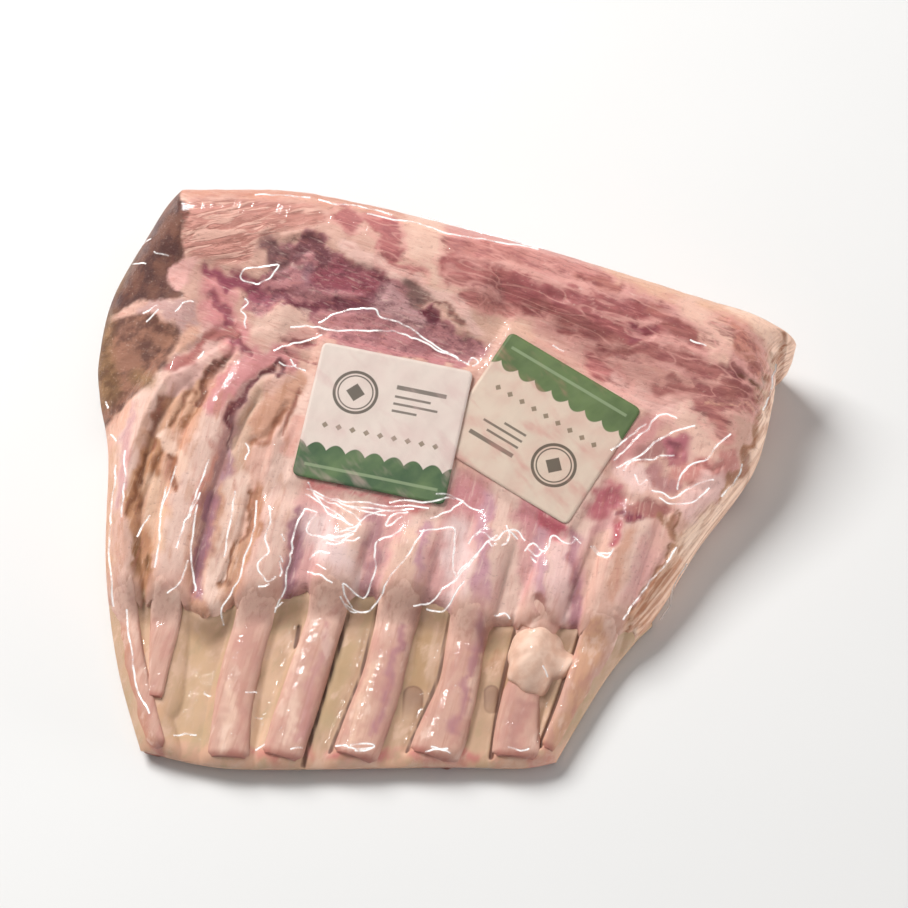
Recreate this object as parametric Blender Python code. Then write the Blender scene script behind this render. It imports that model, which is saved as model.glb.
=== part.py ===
"""Raw rack of lamb, vacuum packed ribs up in a clear bag, with two paper labels under the film.

The sealed bag is one closed solid out to its outer form. It is a loft: a grid of stations runs
across and along the plan, and each station takes its height from the flesh and the ribs below it.
The labels are thin plates that lie on the flat slope between the loin and the bare bones.

+X runs along the rib-tip edge, +Y from the rib tips to the loin, and +Z is up. The origin is the
centre of the part's box, at its underside.
"""

import math

import bmesh
import bpy
from mathutils import Matrix, Vector

MM = 0.001  # every size and place below is in millimetres

# Plan of the bag: the four corners, and the points that shape each side between them
FRONT_LEFT = (-105.5, -102.0)
FRONT_RIGHT = (36.6, -106.6)
BACK_LEFT = (-104.5, 105.5)
BACK_RIGHT = (117.0, 56.0)
LEFT_SIDE = [(-115.3, -70.0), (-121.0, -34.0), (-122.2, 8.0), (-126.2, 30.0), (-127.0, 46.0), (-122.0, 73.0)]
RIGHT_SIDE = [
    (55.5, -74.0), (74.0, -50.0), (90.0, -24.0), (110.0, 4.0), (117.0, 26.0), (119.6, 42.0), (126.4, 49.4),
]
FRONT_SIDE = [(-84.0, -107.8), (-62.0, -109.5), (0.0, -108.6), (24.0, -109.0)]
BACK_SIDE = [(-72.0, 109.5), (-38.0, 106.0), (34.0, 86.0), (97.0, 64.0)]

# Side view: the slope of the flesh, the floor between the bare bones, and the step between them
SLOPE = 0.22  # rise of the flesh for each millimetre towards the loin
SLOPE_MIDDLE = (0.0, 11.0, 31.5)
VALLEY_FRONT = 9.0
VALLEY_RISE = 0.03
STEP_LENGTH = 14.0
LOIN_SWELL = 7.0  # how far the loin stands above that slope
LOIN_INSIDE = 26.0  # the swell's crest, measured from the loin's back edge
LOIN_SPREAD = 20.0
RIM_FRONT = 6.0  # height of the widest line, at the rib tips
RIM_BACK = 24.0  # and at the loin
RIM_RISE_END = 0.9  # share of the way to the loin at which it is reached
UNDERSIDE_INSET = 0.11  # how far the flat underside lies inside the plan, as a share of its size

# Turn-down to the rim: how far inside the rim it starts, and how round it is, from 0 for straight to 1
FRONT_TURN = 6.0
BACK_TURN_AT_LEFT = 10.0
BACK_TURN = 18.0
BACK_TURN_SPREAD = 0.2  # share of the width over which the first grows into the second
LEFT_TURN = 8.0  # beside the bare ribs
LEFT_ROUNDNESS = 0.45
CUT_FACE_TURN = 32.0  # the loin's cut face slants down to the left
CUT_FACE_START = 0.35  # share of the way to the loin
CUT_FACE_SPREAD = 0.3
CUT_FACE_END = 0.8
CUT_FACE_END_SPREAD = 0.2
CUT_FACE_END_SHARE = 0.3  # how much of its slant is left at the loin's corner
RIGHT_TURN_AT_RIBS = 9.0
RIGHT_TURN = 18.0
RIGHT_TURN_START = 0.3
RIGHT_TURN_SPREAD = 0.4
RIGHT_ROUNDNESS = 0.8

# Ribs, as points along the centre line from the tip to where it sinks into the flesh
RIBS = [
    [(-101.0, -103.0), (-112.0, -62.0), (-116.0, -25.0), (-114.0, 8.0), (-103.0, 29.0), (-86.0, 46.0)],
    [(-101.0, -84.0), (-98.0, -50.0), (-95.0, -28.0), (-88.0, 0.0), (-79.0, 20.0), (-64.0, 37.0)],
    [(-75.0, -106.0), (-73.0, -80.0), (-67.0, -52.0), (-61.0, -28.0), (-56.0, 2.0), (-48.0, 24.0)],
    [(-57.0, -106.0), (-50.0, -80.0), (-44.5, -60.0), (-38.0, -35.0), (-30.0, -8.0)],
    [(-32.0, -106.0), (-23.5, -80.0), (-18.5, -58.0), (-12.0, -32.0), (-4.0, -6.0)],
    [(-5.0, -106.0), (3.5, -80.0), (7.0, -60.0), (15.0, -30.0), (24.0, -4.0)],
    [(23.0, -106.0), (25.5, -82.0), (31.0, -58.0), (41.0, -32.0), (51.0, -8.0)],
    [(37.0, -104.0), (46.0, -80.0), (53.0, -60.0), (61.0, -34.0), (71.0, -8.0)],
]
RIB_HALF_WIDTH = 8.2
TIP_FLARE = 1.2  # ribs widen towards their tips
FLARE_SHARE = 0.3  # share of the rib over which they do
SINK_SHARE = 0.25  # share of the rib over which it sinks into the flesh
BARE_RIB_HEIGHT = 5.5
COVERED_RIB_HEIGHT = 3.5
RIB_FLATNESS = 3.0  # 2 makes a round ridge, and more makes one with a flatter top

# Where the flesh ends and the bare bones start, from left to right
FLESH_EDGE = [(-127.0, -48.0), (-96.0, -51.0), (-84.0, -58.0), (-72.0, -52.0), (-50.0, -49.0),
              (-10.0, -51.0), (15.0, -61.0), (75.0, -62.0)]

# Lumps of fat that stand out under the film: centre, radius, height
LUMPS = [
    ((31.0, -71.0), 10.5, 6.0),
    ((-85.0, -55.0), 8.0, 2.5),
    ((-57.0, 52.0), 10.0, 3.0),
    ((-100.0, 54.0), 9.0, 2.5),
]

LABEL_WIDTH = 54.8
LABEL_HEIGHT = 50.6
LABEL_CORNER = 2.2
LABEL_THICKNESS = 0.5
LABEL_MARGIN = 4.0  # flat ground round each label
LABEL_BLEND = 13.0  # how far it takes from there to the flesh's own form
GAP = 0.3
LABELS = {  # centre in plan, turn about the slope's normal in degrees, height above the bag
    "label_left": ((-23.0, 12.4), -11.9, 2.0 * GAP + LABEL_THICKNESS),
    "label_right": ((32.0, 11.1), -32.5, GAP),
}

COLUMNS = 84
ROWS = 32
EDGE_STATIONS = 5
EDGE_CROWDING = 1.6
UNDERSIDE_RINGS = 3


def ease(value):
    """Smooth step from 0 to 1."""
    value = min(max(value, 0.0), 1.0)
    return value * value * (3.0 - 2.0 * value)


def mix(low, high, share):
    return low + (high - low) * share


def smooth_line(points, share):
    """Point at a share of the way along a Catmull-Rom curve through the points."""
    spans = len(points) - 1
    place = min(share * spans, spans - 1e-9)
    first = int(place)
    t = place - first
    before = points[max(first - 1, 0)]
    start = points[first]
    end = points[first + 1]
    after = points[min(first + 2, spans)]
    return Vector([
        0.5 * (2.0 * p1 + (p2 - p0) * t + (2.0 * p0 - 5.0 * p1 + 4.0 * p2 - p3) * t * t
               + (3.0 * p1 - p0 - 3.0 * p2 + p3) * t ** 3)
        for p0, p1, p2, p3 in zip(before, start, end, after)
    ])


def left(b):
    return smooth_line([FRONT_LEFT, *LEFT_SIDE, BACK_LEFT], b)


def right(b):
    return smooth_line([FRONT_RIGHT, *RIGHT_SIDE, BACK_RIGHT], b)


def front(a):
    return smooth_line([FRONT_LEFT, *FRONT_SIDE, FRONT_RIGHT], a)


def back(a):
    return smooth_line([BACK_LEFT, *BACK_SIDE, BACK_RIGHT], a)


def plan(a, b):
    """Coons patch: a runs from the left side to the right, b from the rib tips to the loin."""
    corners = mix(
        mix(Vector(FRONT_LEFT), Vector(FRONT_RIGHT), a),
        mix(Vector(BACK_LEFT), Vector(BACK_RIGHT), a),
        b,
    )
    return mix(left(b), right(b), a) + mix(front(a), back(a), b) - corners


RIB_STEPS = 20
RIB_LINES = [[smooth_line(rib, step / RIB_STEPS) for step in range(RIB_STEPS + 1)] for rib in RIBS]


def nearest_on_line(point, line):
    """Distance from a point to a rib's line, and the share of the line passed at the nearest place."""
    best = (math.inf, 0.0)
    for index, (start, end) in enumerate(zip(line, line[1:])):
        run = end - start
        along = min(max((point - start).dot(run) / run.length_squared, 0.0), 1.0)
        distance = (point - start - run * along).length
        best = min(best, (distance, (index + along) / (len(line) - 1)))
    return best


def rib_relief(point, bare):
    """Height that the nearest rib adds at a point, more where the bone is bare."""
    height = mix(COVERED_RIB_HEIGHT, BARE_RIB_HEIGHT, bare)
    relief = 0.0
    for line in RIB_LINES:
        distance, passed = nearest_on_line(point, line)
        half_width = RIB_HALF_WIDTH * mix(TIP_FLARE, 1.0, ease(passed / FLARE_SHARE))
        across = min(distance / half_width, 1.0)
        relief = max(relief, height * ease((1.0 - passed) / SINK_SHARE) * (1.0 - across ** RIB_FLATNESS))
    return relief


def flesh_edge(x):
    """How far forward the flesh reaches."""
    for (x0, y0), (x1, y1) in zip(FLESH_EDGE, FLESH_EDGE[1:]):
        if x <= x1:
            return mix(y0, y1, ease((x - x0) / (x1 - x0)))
    return FLESH_EDGE[-1][1]


def slope(y):
    return SLOPE_MIDDLE[2] + SLOPE * (y - SLOPE_MIDDLE[1])


def label_ground(point):
    """1 under a label and its margin, falling to 0 around it."""
    cover = 0.0
    for centre, turn, _ in LABELS.values():
        local = Matrix.Rotation(math.radians(-turn), 2) @ (point - Vector(centre))
        outside = max(abs(local.x) - LABEL_WIDTH / 2, abs(local.y) - LABEL_HEIGHT / 2)
        cover = max(cover, 1.0 - ease((outside - LABEL_MARGIN) / LABEL_BLEND))
    return cover


def flesh_height(point):
    """Height of the bag over its contents, before it turns down at the rim."""
    covered = ease((point.y - flesh_edge(point.x)) / STEP_LENGTH + 0.5)
    valley = VALLEY_FRONT + VALLEY_RISE * (point.y - FRONT_LEFT[1])
    height = mix(valley, slope(point.y), covered) + rib_relief(point, 1.0 - covered)
    for centre, radius, lift in LUMPS:
        height += lift * math.exp(-((point - Vector(centre)).length / radius) ** 2)
    return height


def turn_down(distance, radius, roundness):
    """Share of the height left at a distance inside the rim: round, or straight like a cut face."""
    inside = min(distance / radius, 1.0)
    return mix(inside, math.sqrt(1.0 - (1.0 - inside) ** 2), roundness)


def top_height(a, b):
    point = plan(a, b)
    share = turn_down((point - front(a)).length, FRONT_TURN, 1.0)
    back_turn = mix(BACK_TURN_AT_LEFT, BACK_TURN, ease(a / BACK_TURN_SPREAD))
    share *= turn_down((point - back(a)).length, back_turn, 1.0)
    left_turn = mix(LEFT_TURN, CUT_FACE_TURN, ease((b - CUT_FACE_START) / CUT_FACE_SPREAD))
    left_turn *= mix(1.0, CUT_FACE_END_SHARE, ease((b - CUT_FACE_END) / CUT_FACE_END_SPREAD))
    share *= turn_down((point - left(b)).length, left_turn, LEFT_ROUNDNESS)
    right_turn = mix(RIGHT_TURN_AT_RIBS, RIGHT_TURN, ease((b - RIGHT_TURN_START) / RIGHT_TURN_SPREAD))
    share *= turn_down((point - right(b)).length, right_turn, RIGHT_ROUNDNESS)
    inside = ((point - back(a)).length - LOIN_INSIDE) / LOIN_SPREAD
    height = flesh_height(point) + LOIN_SWELL * math.exp(-inside * inside)
    height = mix(height, slope(point.y), label_ground(point))
    rim = rim_height(b)
    return mix(rim, max(height, rim), share)


def rim_height(b):
    return mix(RIM_FRONT, RIM_BACK, ease(b / RIM_RISE_END))


def stations(count):
    """Even steps from 0 to 1, with closer ones next to each end, where the bag turns down."""
    edge = [(step / EDGE_STATIONS) ** 2 / count * EDGE_CROWDING for step in range(EDGE_STATIONS)]
    inner_start = edge[-1] + 1.0 / count
    inner = [mix(inner_start, 1.0 - inner_start, step / (count - 3)) for step in range(count - 2)]
    return edge + inner + [1.0 - place for place in reversed(edge)]


def make_material(name, colour, roughness):
    material = bpy.data.materials.new(name)
    material.use_nodes = True
    surface = material.node_tree.nodes["Principled BSDF"]
    surface.inputs["Base Color"].default_value = (*colour, 1.0)
    surface.inputs["Roughness"].default_value = roughness
    surface.inputs["Metallic"].default_value = 0.0
    return material


def build_bag(collection, material):
    across = stations(COLUMNS)
    along = stations(ROWS)
    mesh = bmesh.new()
    top = {}
    for i, a in enumerate(across):
        for j, b in enumerate(along):
            x, y = plan(a, b)
            top[i, j] = mesh.verts.new((x * MM, y * MM, top_height(a, b) * MM))
    last_i = len(across) - 1
    last_j = len(along) - 1
    for i in range(last_i):
        for j in range(last_j):
            mesh.faces.new((top[i, j], top[i + 1, j], top[i + 1, j + 1], top[i, j + 1]))

    border = [(i, 0) for i in range(last_i)] + [(last_i, j) for j in range(last_j)]
    border += [(i, last_j) for i in range(last_i, 0, -1)] + [(0, j) for j in range(last_j, 0, -1)]
    ring = [top[key] for key in border]
    for step in range(1, UNDERSIDE_RINGS + 1):
        turn = 0.5 * math.pi * step / UNDERSIDE_RINGS
        shrink = 1.0 - UNDERSIDE_INSET * (1.0 - math.cos(turn))
        lower = []
        for i, j in border:
            x, y = plan(0.5 + (across[i] - 0.5) * shrink, 0.5 + (along[j] - 0.5) * shrink)
            lower.append(mesh.verts.new((x * MM, y * MM, rim_height(along[j]) * (1.0 - math.sin(turn)) * MM)))
        for k in range(len(border)):
            following = (k + 1) % len(border)
            mesh.faces.new((ring[k], lower[k], lower[following], ring[following]))
        ring = lower
    mesh.faces.new(ring)
    bmesh.ops.recalc_face_normals(mesh, faces=mesh.faces)

    data = bpy.data.meshes.new("bag")
    mesh.to_mesh(data)
    mesh.free()
    data.shade_smooth()
    data.materials.append(material)
    bag = bpy.data.objects.new("bag", data)
    collection.objects.link(bag)


def rounded_rectangle(width, height, radius, corner_steps=5):
    points = []
    for corner, (side_x, side_y) in enumerate([(1, 1), (-1, 1), (-1, -1), (1, -1)]):
        for step in range(corner_steps + 1):
            angle = 0.5 * math.pi * (corner + step / corner_steps)
            x = side_x * (width / 2 - radius) + radius * math.cos(angle)
            y = side_y * (height / 2 - radius) + radius * math.sin(angle)
            points.append((x, y))
    return points


def build_label(name, centre, turn, lift, collection, material):
    outline = rounded_rectangle(LABEL_WIDTH, LABEL_HEIGHT, LABEL_CORNER)
    curve = bpy.data.curves.new(name, "CURVE")
    curve.dimensions = "2D"
    curve.fill_mode = "BOTH"
    curve.extrude = LABEL_THICKNESS / 2 * MM
    spline = curve.splines.new("POLY")
    spline.points.add(len(outline) - 1)
    for point, (x, y) in zip(spline.points, outline):
        point.co = (x * MM, y * MM, 0.0, 1.0)
    spline.use_cyclic_u = True
    curve.materials.append(material)
    label = bpy.data.objects.new(name, curve)
    tilt = Matrix.Rotation(math.atan(SLOPE), 4, "X")
    normal = tilt @ Vector((0.0, 0.0, 1.0))
    place = Vector((*centre, slope(centre[1]))) + normal * (lift + LABEL_THICKNESS / 2)
    label.matrix_world = Matrix.Translation(place * MM) @ tilt @ Matrix.Rotation(math.radians(turn), 4, "Z")
    collection.objects.link(label)


def main():
    for item in list(bpy.data.objects):
        bpy.data.objects.remove(item, do_unlink=True)
    collection = bpy.data.collections.new("raw_rack_of_lamb")
    bpy.context.scene.collection.children.link(collection)
    build_bag(collection, make_material("bag", (0.66, 0.38, 0.30), 0.18))
    paper = make_material("label", (0.86, 0.76, 0.68), 0.4)
    for name, (centre, turn, lift) in LABELS.items():
        build_label(name, centre, turn, lift, collection, paper)


main()
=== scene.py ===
# %% [markdown]
# # A rack of lamb in a vacuum pack
# The real thing is a row of ribs with the loin's muscle and fat along one side. The rib ends are
# scraped bare, a soft pad lies under them so that they can't pierce the bag, and a clear film is drawn
# tight over everything, with two paper labels caught underneath. The script makes the contents first,
# each piece as a closed mesh just below the film, and then the film itself, which shows by its gloss.

import math

import bpy
import numpy as np
from mathutils import Matrix, Vector
from mathutils.bvhtree import BVHTree


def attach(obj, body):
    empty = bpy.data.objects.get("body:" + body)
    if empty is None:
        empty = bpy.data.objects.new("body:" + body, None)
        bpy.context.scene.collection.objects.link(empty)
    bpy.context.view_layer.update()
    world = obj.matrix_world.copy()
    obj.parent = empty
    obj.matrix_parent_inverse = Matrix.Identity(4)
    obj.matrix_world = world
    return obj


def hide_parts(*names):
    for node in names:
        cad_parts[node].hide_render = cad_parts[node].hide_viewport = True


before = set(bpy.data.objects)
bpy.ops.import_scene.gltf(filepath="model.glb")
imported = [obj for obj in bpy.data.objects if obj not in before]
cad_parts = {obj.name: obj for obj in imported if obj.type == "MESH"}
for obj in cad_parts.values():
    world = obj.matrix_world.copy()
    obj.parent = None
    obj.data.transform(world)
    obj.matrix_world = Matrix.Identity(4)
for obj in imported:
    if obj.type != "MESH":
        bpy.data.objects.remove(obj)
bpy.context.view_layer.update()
MM = 0.001  # sizes and places are in millimetres until a mesh is made

# %% [markdown]
# ## Small tools
# A pack has no straight lines, so its shape comes from a few given points and smooth curves through
# them. `ease` turns a ramp into a soft step, `along` reads a place off a curve, and `lumps` is a random
# field that repeats exactly from run to run. All of them work on whole arrays, which keeps fine meshes quick.

# %% Curves, steps and random fields


def ease(value):
    """Soft step from 0 to 1."""
    value = np.clip(value, 0.0, 1.0)
    return value * value * (3.0 - 2.0 * value)


def mix(low, high, share):
    return low + (high - low) * share


def along(points, share):
    """Places at the given shares of a Catmull-Rom curve through the points."""
    points = np.array(points, float)
    place = np.clip(share, 0.0, 1.0 - 1e-9) * (len(points) - 1)
    first = np.floor(place).astype(int)
    t = (place - first)[..., None]
    before = points[np.maximum(first - 1, 0)]
    start = points[first]
    end = points[first + 1]
    after = points[np.minimum(first + 2, len(points) - 1)]
    bend = 2 * before - 5 * start + 4 * end - after
    return 0.5 * (2 * start + (end - before) * t + bend * t ** 2 + (3 * start - before - 3 * end + after) * t ** 3)


def lumps(x, y, size, seed):
    """Smooth random field from -1 to 1, with lumps of about the given size."""
    lattice = np.random.default_rng(seed).uniform(-1.0, 1.0, (64, 64))
    i = np.floor(x / size).astype(int)
    j = np.floor(y / size).astype(int)
    s = ease(x / size - i)
    t = ease(y / size - j)

    def corner(di, dj):
        return lattice[(i + di) % 64, (j + dj) % 64]

    return mix(mix(corner(0, 0), corner(1, 0), s), mix(corner(0, 1), corner(1, 1), s), t)


def turned(x, y, degrees):
    """Coordinates read along and across a direction."""
    angle = math.radians(degrees)
    return x * math.cos(angle) + y * math.sin(angle), y * math.cos(angle) - x * math.sin(angle)


# %% [markdown]
# ## The form of the pack
# From above, the pack is a lopsided four-sided patch: the rib tips in front, the loin behind. A Coons
# patch fills it from its four sides, so that rows run from the tips to the loin and columns follow the
# ribs. Its height is a long slope up to the loin, a step down to the bare bones, and a ridge over each rib.

# %% Plan and side view of the pack
FRONT_LEFT = (-105.5, -102.0)
FRONT_RIGHT = (36.6, -106.6)
BACK_LEFT = (-104.5, 105.5)
BACK_RIGHT = (117.0, 56.0)
LEFT_SIDE = [(-115.3, -70.0), (-121.0, -34.0), (-122.2, 8.0), (-126.2, 30.0), (-127.0, 46.0), (-122.0, 73.0)]
RIGHT_SIDE = [(55.5, -74.0), (74.0, -50.0), (90.0, -24.0), (110.0, 4.0), (117.0, 26.0), (119.6, 42.0),
              (126.4, 49.4)]
FRONT_SIDE = [(-84.0, -107.8), (-62.0, -109.5), (0.0, -108.6), (24.0, -109.0)]
BACK_SIDE = [(-72.0, 109.5), (-38.0, 106.0), (34.0, 86.0), (97.0, 64.0)]

SLOPE = 0.22
SLOPE_MIDDLE = (11.0, 31.5)  # place and height
LOIN_SWELL, LOIN_INSIDE, LOIN_SPREAD = 7.0, 26.0, 20.0
VALLEY_FRONT, VALLEY_RISE = 9.0, 0.03
STEP_LENGTH = 14.0
RIM_FRONT, RIM_BACK = 6.0, 24.0
UNDERSIDE_INSET = 0.11

RIBS = [
    [(-101.0, -103.0), (-112.0, -62.0), (-116.0, -25.0), (-114.0, 8.0), (-103.0, 29.0), (-86.0, 46.0)],
    [(-101.0, -84.0), (-98.0, -50.0), (-95.0, -28.0), (-88.0, 0.0), (-79.0, 20.0), (-64.0, 37.0)],
    [(-75.0, -106.0), (-73.0, -80.0), (-67.0, -52.0), (-61.0, -28.0), (-56.0, 2.0), (-48.0, 24.0)],
    [(-57.0, -106.0), (-50.0, -80.0), (-44.5, -60.0), (-38.0, -35.0), (-30.0, -8.0)],
    [(-32.0, -106.0), (-23.5, -80.0), (-18.5, -58.0), (-12.0, -32.0), (-4.0, -6.0)],
    [(-5.0, -106.0), (3.5, -80.0), (7.0, -60.0), (15.0, -30.0), (24.0, -4.0)],
    [(23.0, -106.0), (25.5, -82.0), (31.0, -58.0), (41.0, -32.0), (51.0, -8.0)],
    [(37.0, -104.0), (46.0, -80.0), (53.0, -60.0), (61.0, -34.0), (71.0, -8.0)],
]
RIB_HALF_WIDTH, TIP_FLARE = 8.2, 1.2
BARE_RIB_HEIGHT, COVERED_RIB_HEIGHT, RIB_FLATNESS = 5.5, 3.5, 3.0
FLESH_EDGE = [(-127.0, -48.0), (-96.0, -51.0), (-84.0, -58.0), (-72.0, -52.0), (-50.0, -49.0),
              (-10.0, -51.0), (15.0, -61.0), (75.0, -62.0)]
FAT_LUMPS = [((31.0, -71.0), 10.5, 6.0), ((-85.0, -55.0), 8.0, 2.5), ((-57.0, 52.0), 10.0, 3.0), ((-100.0, 54.0), 9.0, 2.5)]

LABEL_WIDTH, LABEL_HEIGHT, LABEL_CORNER = 54.8, 50.6, 2.2
LABELS = {"label_left": ((-23.0, 12.4), -11.9, 1.1), "label_right": ((32.0, 11.1), -32.5, 0.3)}
FILM_OVER_LABELS = 2.1


def left(b):
    return along([FRONT_LEFT, *LEFT_SIDE, BACK_LEFT], b)


def right(b):
    return along([FRONT_RIGHT, *RIGHT_SIDE, BACK_RIGHT], b)


def front(a):
    return along([FRONT_LEFT, *FRONT_SIDE, FRONT_RIGHT], a)


def back(a):
    return along([BACK_LEFT, *BACK_SIDE, BACK_RIGHT], a)


def plan(a, b):
    """Place in the plan: a runs from the left side to the right, b from the rib tips to the loin."""
    across, deep = a[..., None], b[..., None]
    low = mix(np.array(FRONT_LEFT), np.array(FRONT_RIGHT), across)
    high = mix(np.array(BACK_LEFT), np.array(BACK_RIGHT), across)
    return mix(left(b), right(b), across) + mix(front(a), back(a), deep) - mix(low, high, deep)


def from_line(x, y, line):
    """Distance from points to a broken line, and the share of the line passed at the nearest place."""
    best = np.full(x.shape, np.inf)
    passed = np.zeros(x.shape)
    for index in range(len(line) - 1):
        run = line[index + 1] - line[index]
        share = ((x - line[index][0]) * run[0] + (y - line[index][1]) * run[1]) / max(run @ run, 1e-9)
        share = np.clip(share, 0.0, 1.0)
        distance = np.hypot(x - line[index][0] - share * run[0], y - line[index][1] - share * run[1])
        nearer = distance < best
        best = np.where(nearer, distance, best)
        passed = np.where(nearer, (index + share) / (len(line) - 1), passed)
    return best, passed


RIB_LINES = [along(rib, np.linspace(0.0, 1.0, 21)) for rib in RIBS]
ALL_RIBS = (1.0,) * len(RIBS)
FILM_BRIDGE = 2.6
PAD_RIBS = (0.45, 0.4, 0.45, 0.45, 0.45, 0.45, 0.35, 0.45)  # share of each rib's height that the pad follows


def rib_relief(x, y, height, shares=ALL_RIBS):
    relief = np.zeros(x.shape)
    for line, rib_share in zip(RIB_LINES, shares):
        distance, passed = from_line(x, y, line)
        half_width = RIB_HALF_WIDTH * mix(TIP_FLARE, 1.0, ease(passed / 0.3))
        bump = 1.0 - np.minimum(distance / half_width, 1.0) ** RIB_FLATNESS
        relief = np.maximum(relief, rib_share * height * ease((1.0 - passed) / 0.25) * bump)
    return relief


def flesh_edge(x):
    """How far forward the flesh reaches."""
    places, reach = np.array(FLESH_EDGE).T
    index = np.clip(np.searchsorted(places, x, side="right") - 1, 0, len(places) - 2)
    share = (x - places[index]) / (places[index + 1] - places[index])
    return mix(reach[index], reach[index + 1], ease(share))


def slope(y):
    return SLOPE_MIDDLE[1] + SLOPE * (y - SLOPE_MIDDLE[0])


def outside_label(x, y, name):
    """Distance outside a label's edges, negative on the label."""
    centre, turn, _ = LABELS[name]
    u, v = turned(x - centre[0], y - centre[1], turn)
    return np.maximum(np.abs(u) - LABEL_WIDTH / 2, np.abs(v) - LABEL_HEIGHT / 2)


def turn_down(distance, radius, roundness):
    """Share of the height left at a distance inside the rim."""
    inside = np.minimum(distance / radius, 1.0)
    return mix(inside, np.sqrt(1.0 - (1.0 - inside) ** 2), roundness)


def rim_height(b):
    return mix(RIM_FRONT, RIM_BACK, ease(b / 0.9))


def bridging(x, y):
    """How far the film stands off the contents, where it bridges from a bare bone to the pad."""
    bare = 1.0 - ease((y - flesh_edge(x)) / STEP_LENGTH + 0.5)
    return rib_relief(x, y, FILM_BRIDGE * bare)


def pack_height(a, b, ribs=ALL_RIBS):
    """Height of the film over the flesh, the bones and the pad, before the labels lift it."""
    spot = plan(a, b)
    x, y = spot[..., 0], spot[..., 1]
    covered = ease((y - flesh_edge(x)) / STEP_LENGTH + 0.5)
    height = mix(VALLEY_FRONT + VALLEY_RISE * (y - FRONT_LEFT[1]), slope(y), covered)
    height = height + rib_relief(x, y, mix(BARE_RIB_HEIGHT, COVERED_RIB_HEIGHT, covered), ribs)
    for (lump_x, lump_y), radius, lift in FAT_LUMPS:
        height = height + lift * np.exp(-((x - lump_x) ** 2 + (y - lump_y) ** 2) / radius ** 2)

    def gap(side):
        return np.linalg.norm(spot - side, axis=-1)

    from_back = gap(back(a))
    height = height + LOIN_SWELL * np.exp(-((from_back - LOIN_INSIDE) / LOIN_SPREAD) ** 2)
    for name in LABELS:
        height = mix(height, slope(y), 1.0 - ease((outside_label(x, y, name) - 4.0) / 13.0))
    cut_face = mix(8.0, 32.0, ease((b - 0.35) / 0.3)) * mix(1.0, 0.3, ease((b - 0.8) / 0.2))
    share = turn_down(gap(front(a)), 6.0, 1.0) * turn_down(from_back, mix(10.0, 18.0, ease(a / 0.2)), 1.0)
    share = share * turn_down(gap(left(b)), cut_face, 0.45)
    share = share * turn_down(gap(right(b)), mix(9.0, 18.0, ease((b - 0.3) / 0.4)), 0.8)
    rim = rim_height(b)
    return mix(rim, np.maximum(height, rim), share)


# %% [markdown]
# ## One way to close every mesh
# The film, the flesh and the pad all have the same build: a fine grid on top, a few rings that turn
# under at the border, and one flat face below. So one function makes such a mesh. It could be done with
# a cloth modifier, but a direct loft keeps the grid even and the faces pointing out.

# %% Grids, rings and meshes


def stations(count, close=6):
    """Even steps from 0 to 1, closer together beside both ends."""
    edge = (np.arange(close) / close) ** 2 * 1.6 / count
    inner = np.linspace(edge[-1] + 1.0 / count, 1.0 - edge[-1] - 1.0 / count, count - 2)
    return np.concatenate([edge, inner, 1.0 - edge[::-1]])


def border(grid):
    """The grid's outer loop, counter-clockwise from above."""
    return np.concatenate([grid[:-1, 0], grid[-1, :-1], grid[:0:-1, -1], grid[0, :0:-1]])


def add_object(name, points, faces):
    data = bpy.data.meshes.new(name)
    data.from_pydata((np.asarray(points) * MM).tolist(), [], faces)
    data.shade_smooth()
    piece = bpy.data.objects.new(name, data)
    bpy.context.scene.collection.objects.link(piece)
    return piece


def closed_loft(name, top, rings):
    """Mesh with the grid on top, the rings below its border, and a flat face under the last ring."""
    columns, rows = top.shape[:2]
    index = np.arange(columns * rows).reshape(columns, rows)
    quads = np.stack([index[:-1, :-1], index[1:, :-1], index[1:, 1:], index[:-1, 1:]], -1).reshape(-1, 4)
    faces = quads.tolist()
    points = [top.reshape(-1, 3)]
    ring = border(index)
    start = columns * rows
    for lower in rings:
        following = np.arange(len(ring)) + start
        strip = np.stack([ring, following, np.roll(following, -1), np.roll(ring, -1)], -1)
        faces += strip.tolist()
        points.append(lower)
        ring = following
        start += len(lower)
    faces.append(ring[::-1].tolist())
    piece = add_object(name, np.concatenate(points), faces)
    print(name, "has", len(faces), "faces")
    return piece


def underside(a, b, rim, floor, shrink=1.0, count=4):
    """Rings that round the pack's side from its widest line down to the floor."""
    a, b, rim = border(a), border(b), border(rim)
    rings = []
    for turn in np.linspace(0.0, math.pi / 2, count + 1)[1:]:
        size = shrink * (1.0 - UNDERSIDE_INSET * (1.0 - math.cos(turn)))
        spot = plan(0.5 + (a - 0.5) * size, 0.5 + (b - 0.5) * size)
        height = floor + (rim - floor) * (1.0 - math.sin(turn))
        rings.append(np.column_stack([spot, height]))
    return rings


# %% [markdown]
# ## The film's shape
# The film is one closed skin. It rests on the ribs, dips to the pad between the bare bones, and is
# lifted a little where a label's thickness holds it off the flesh. It is made first, because everything
# else lies under it, and a ray dropped on it tells any later piece how high it may reach.

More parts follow.
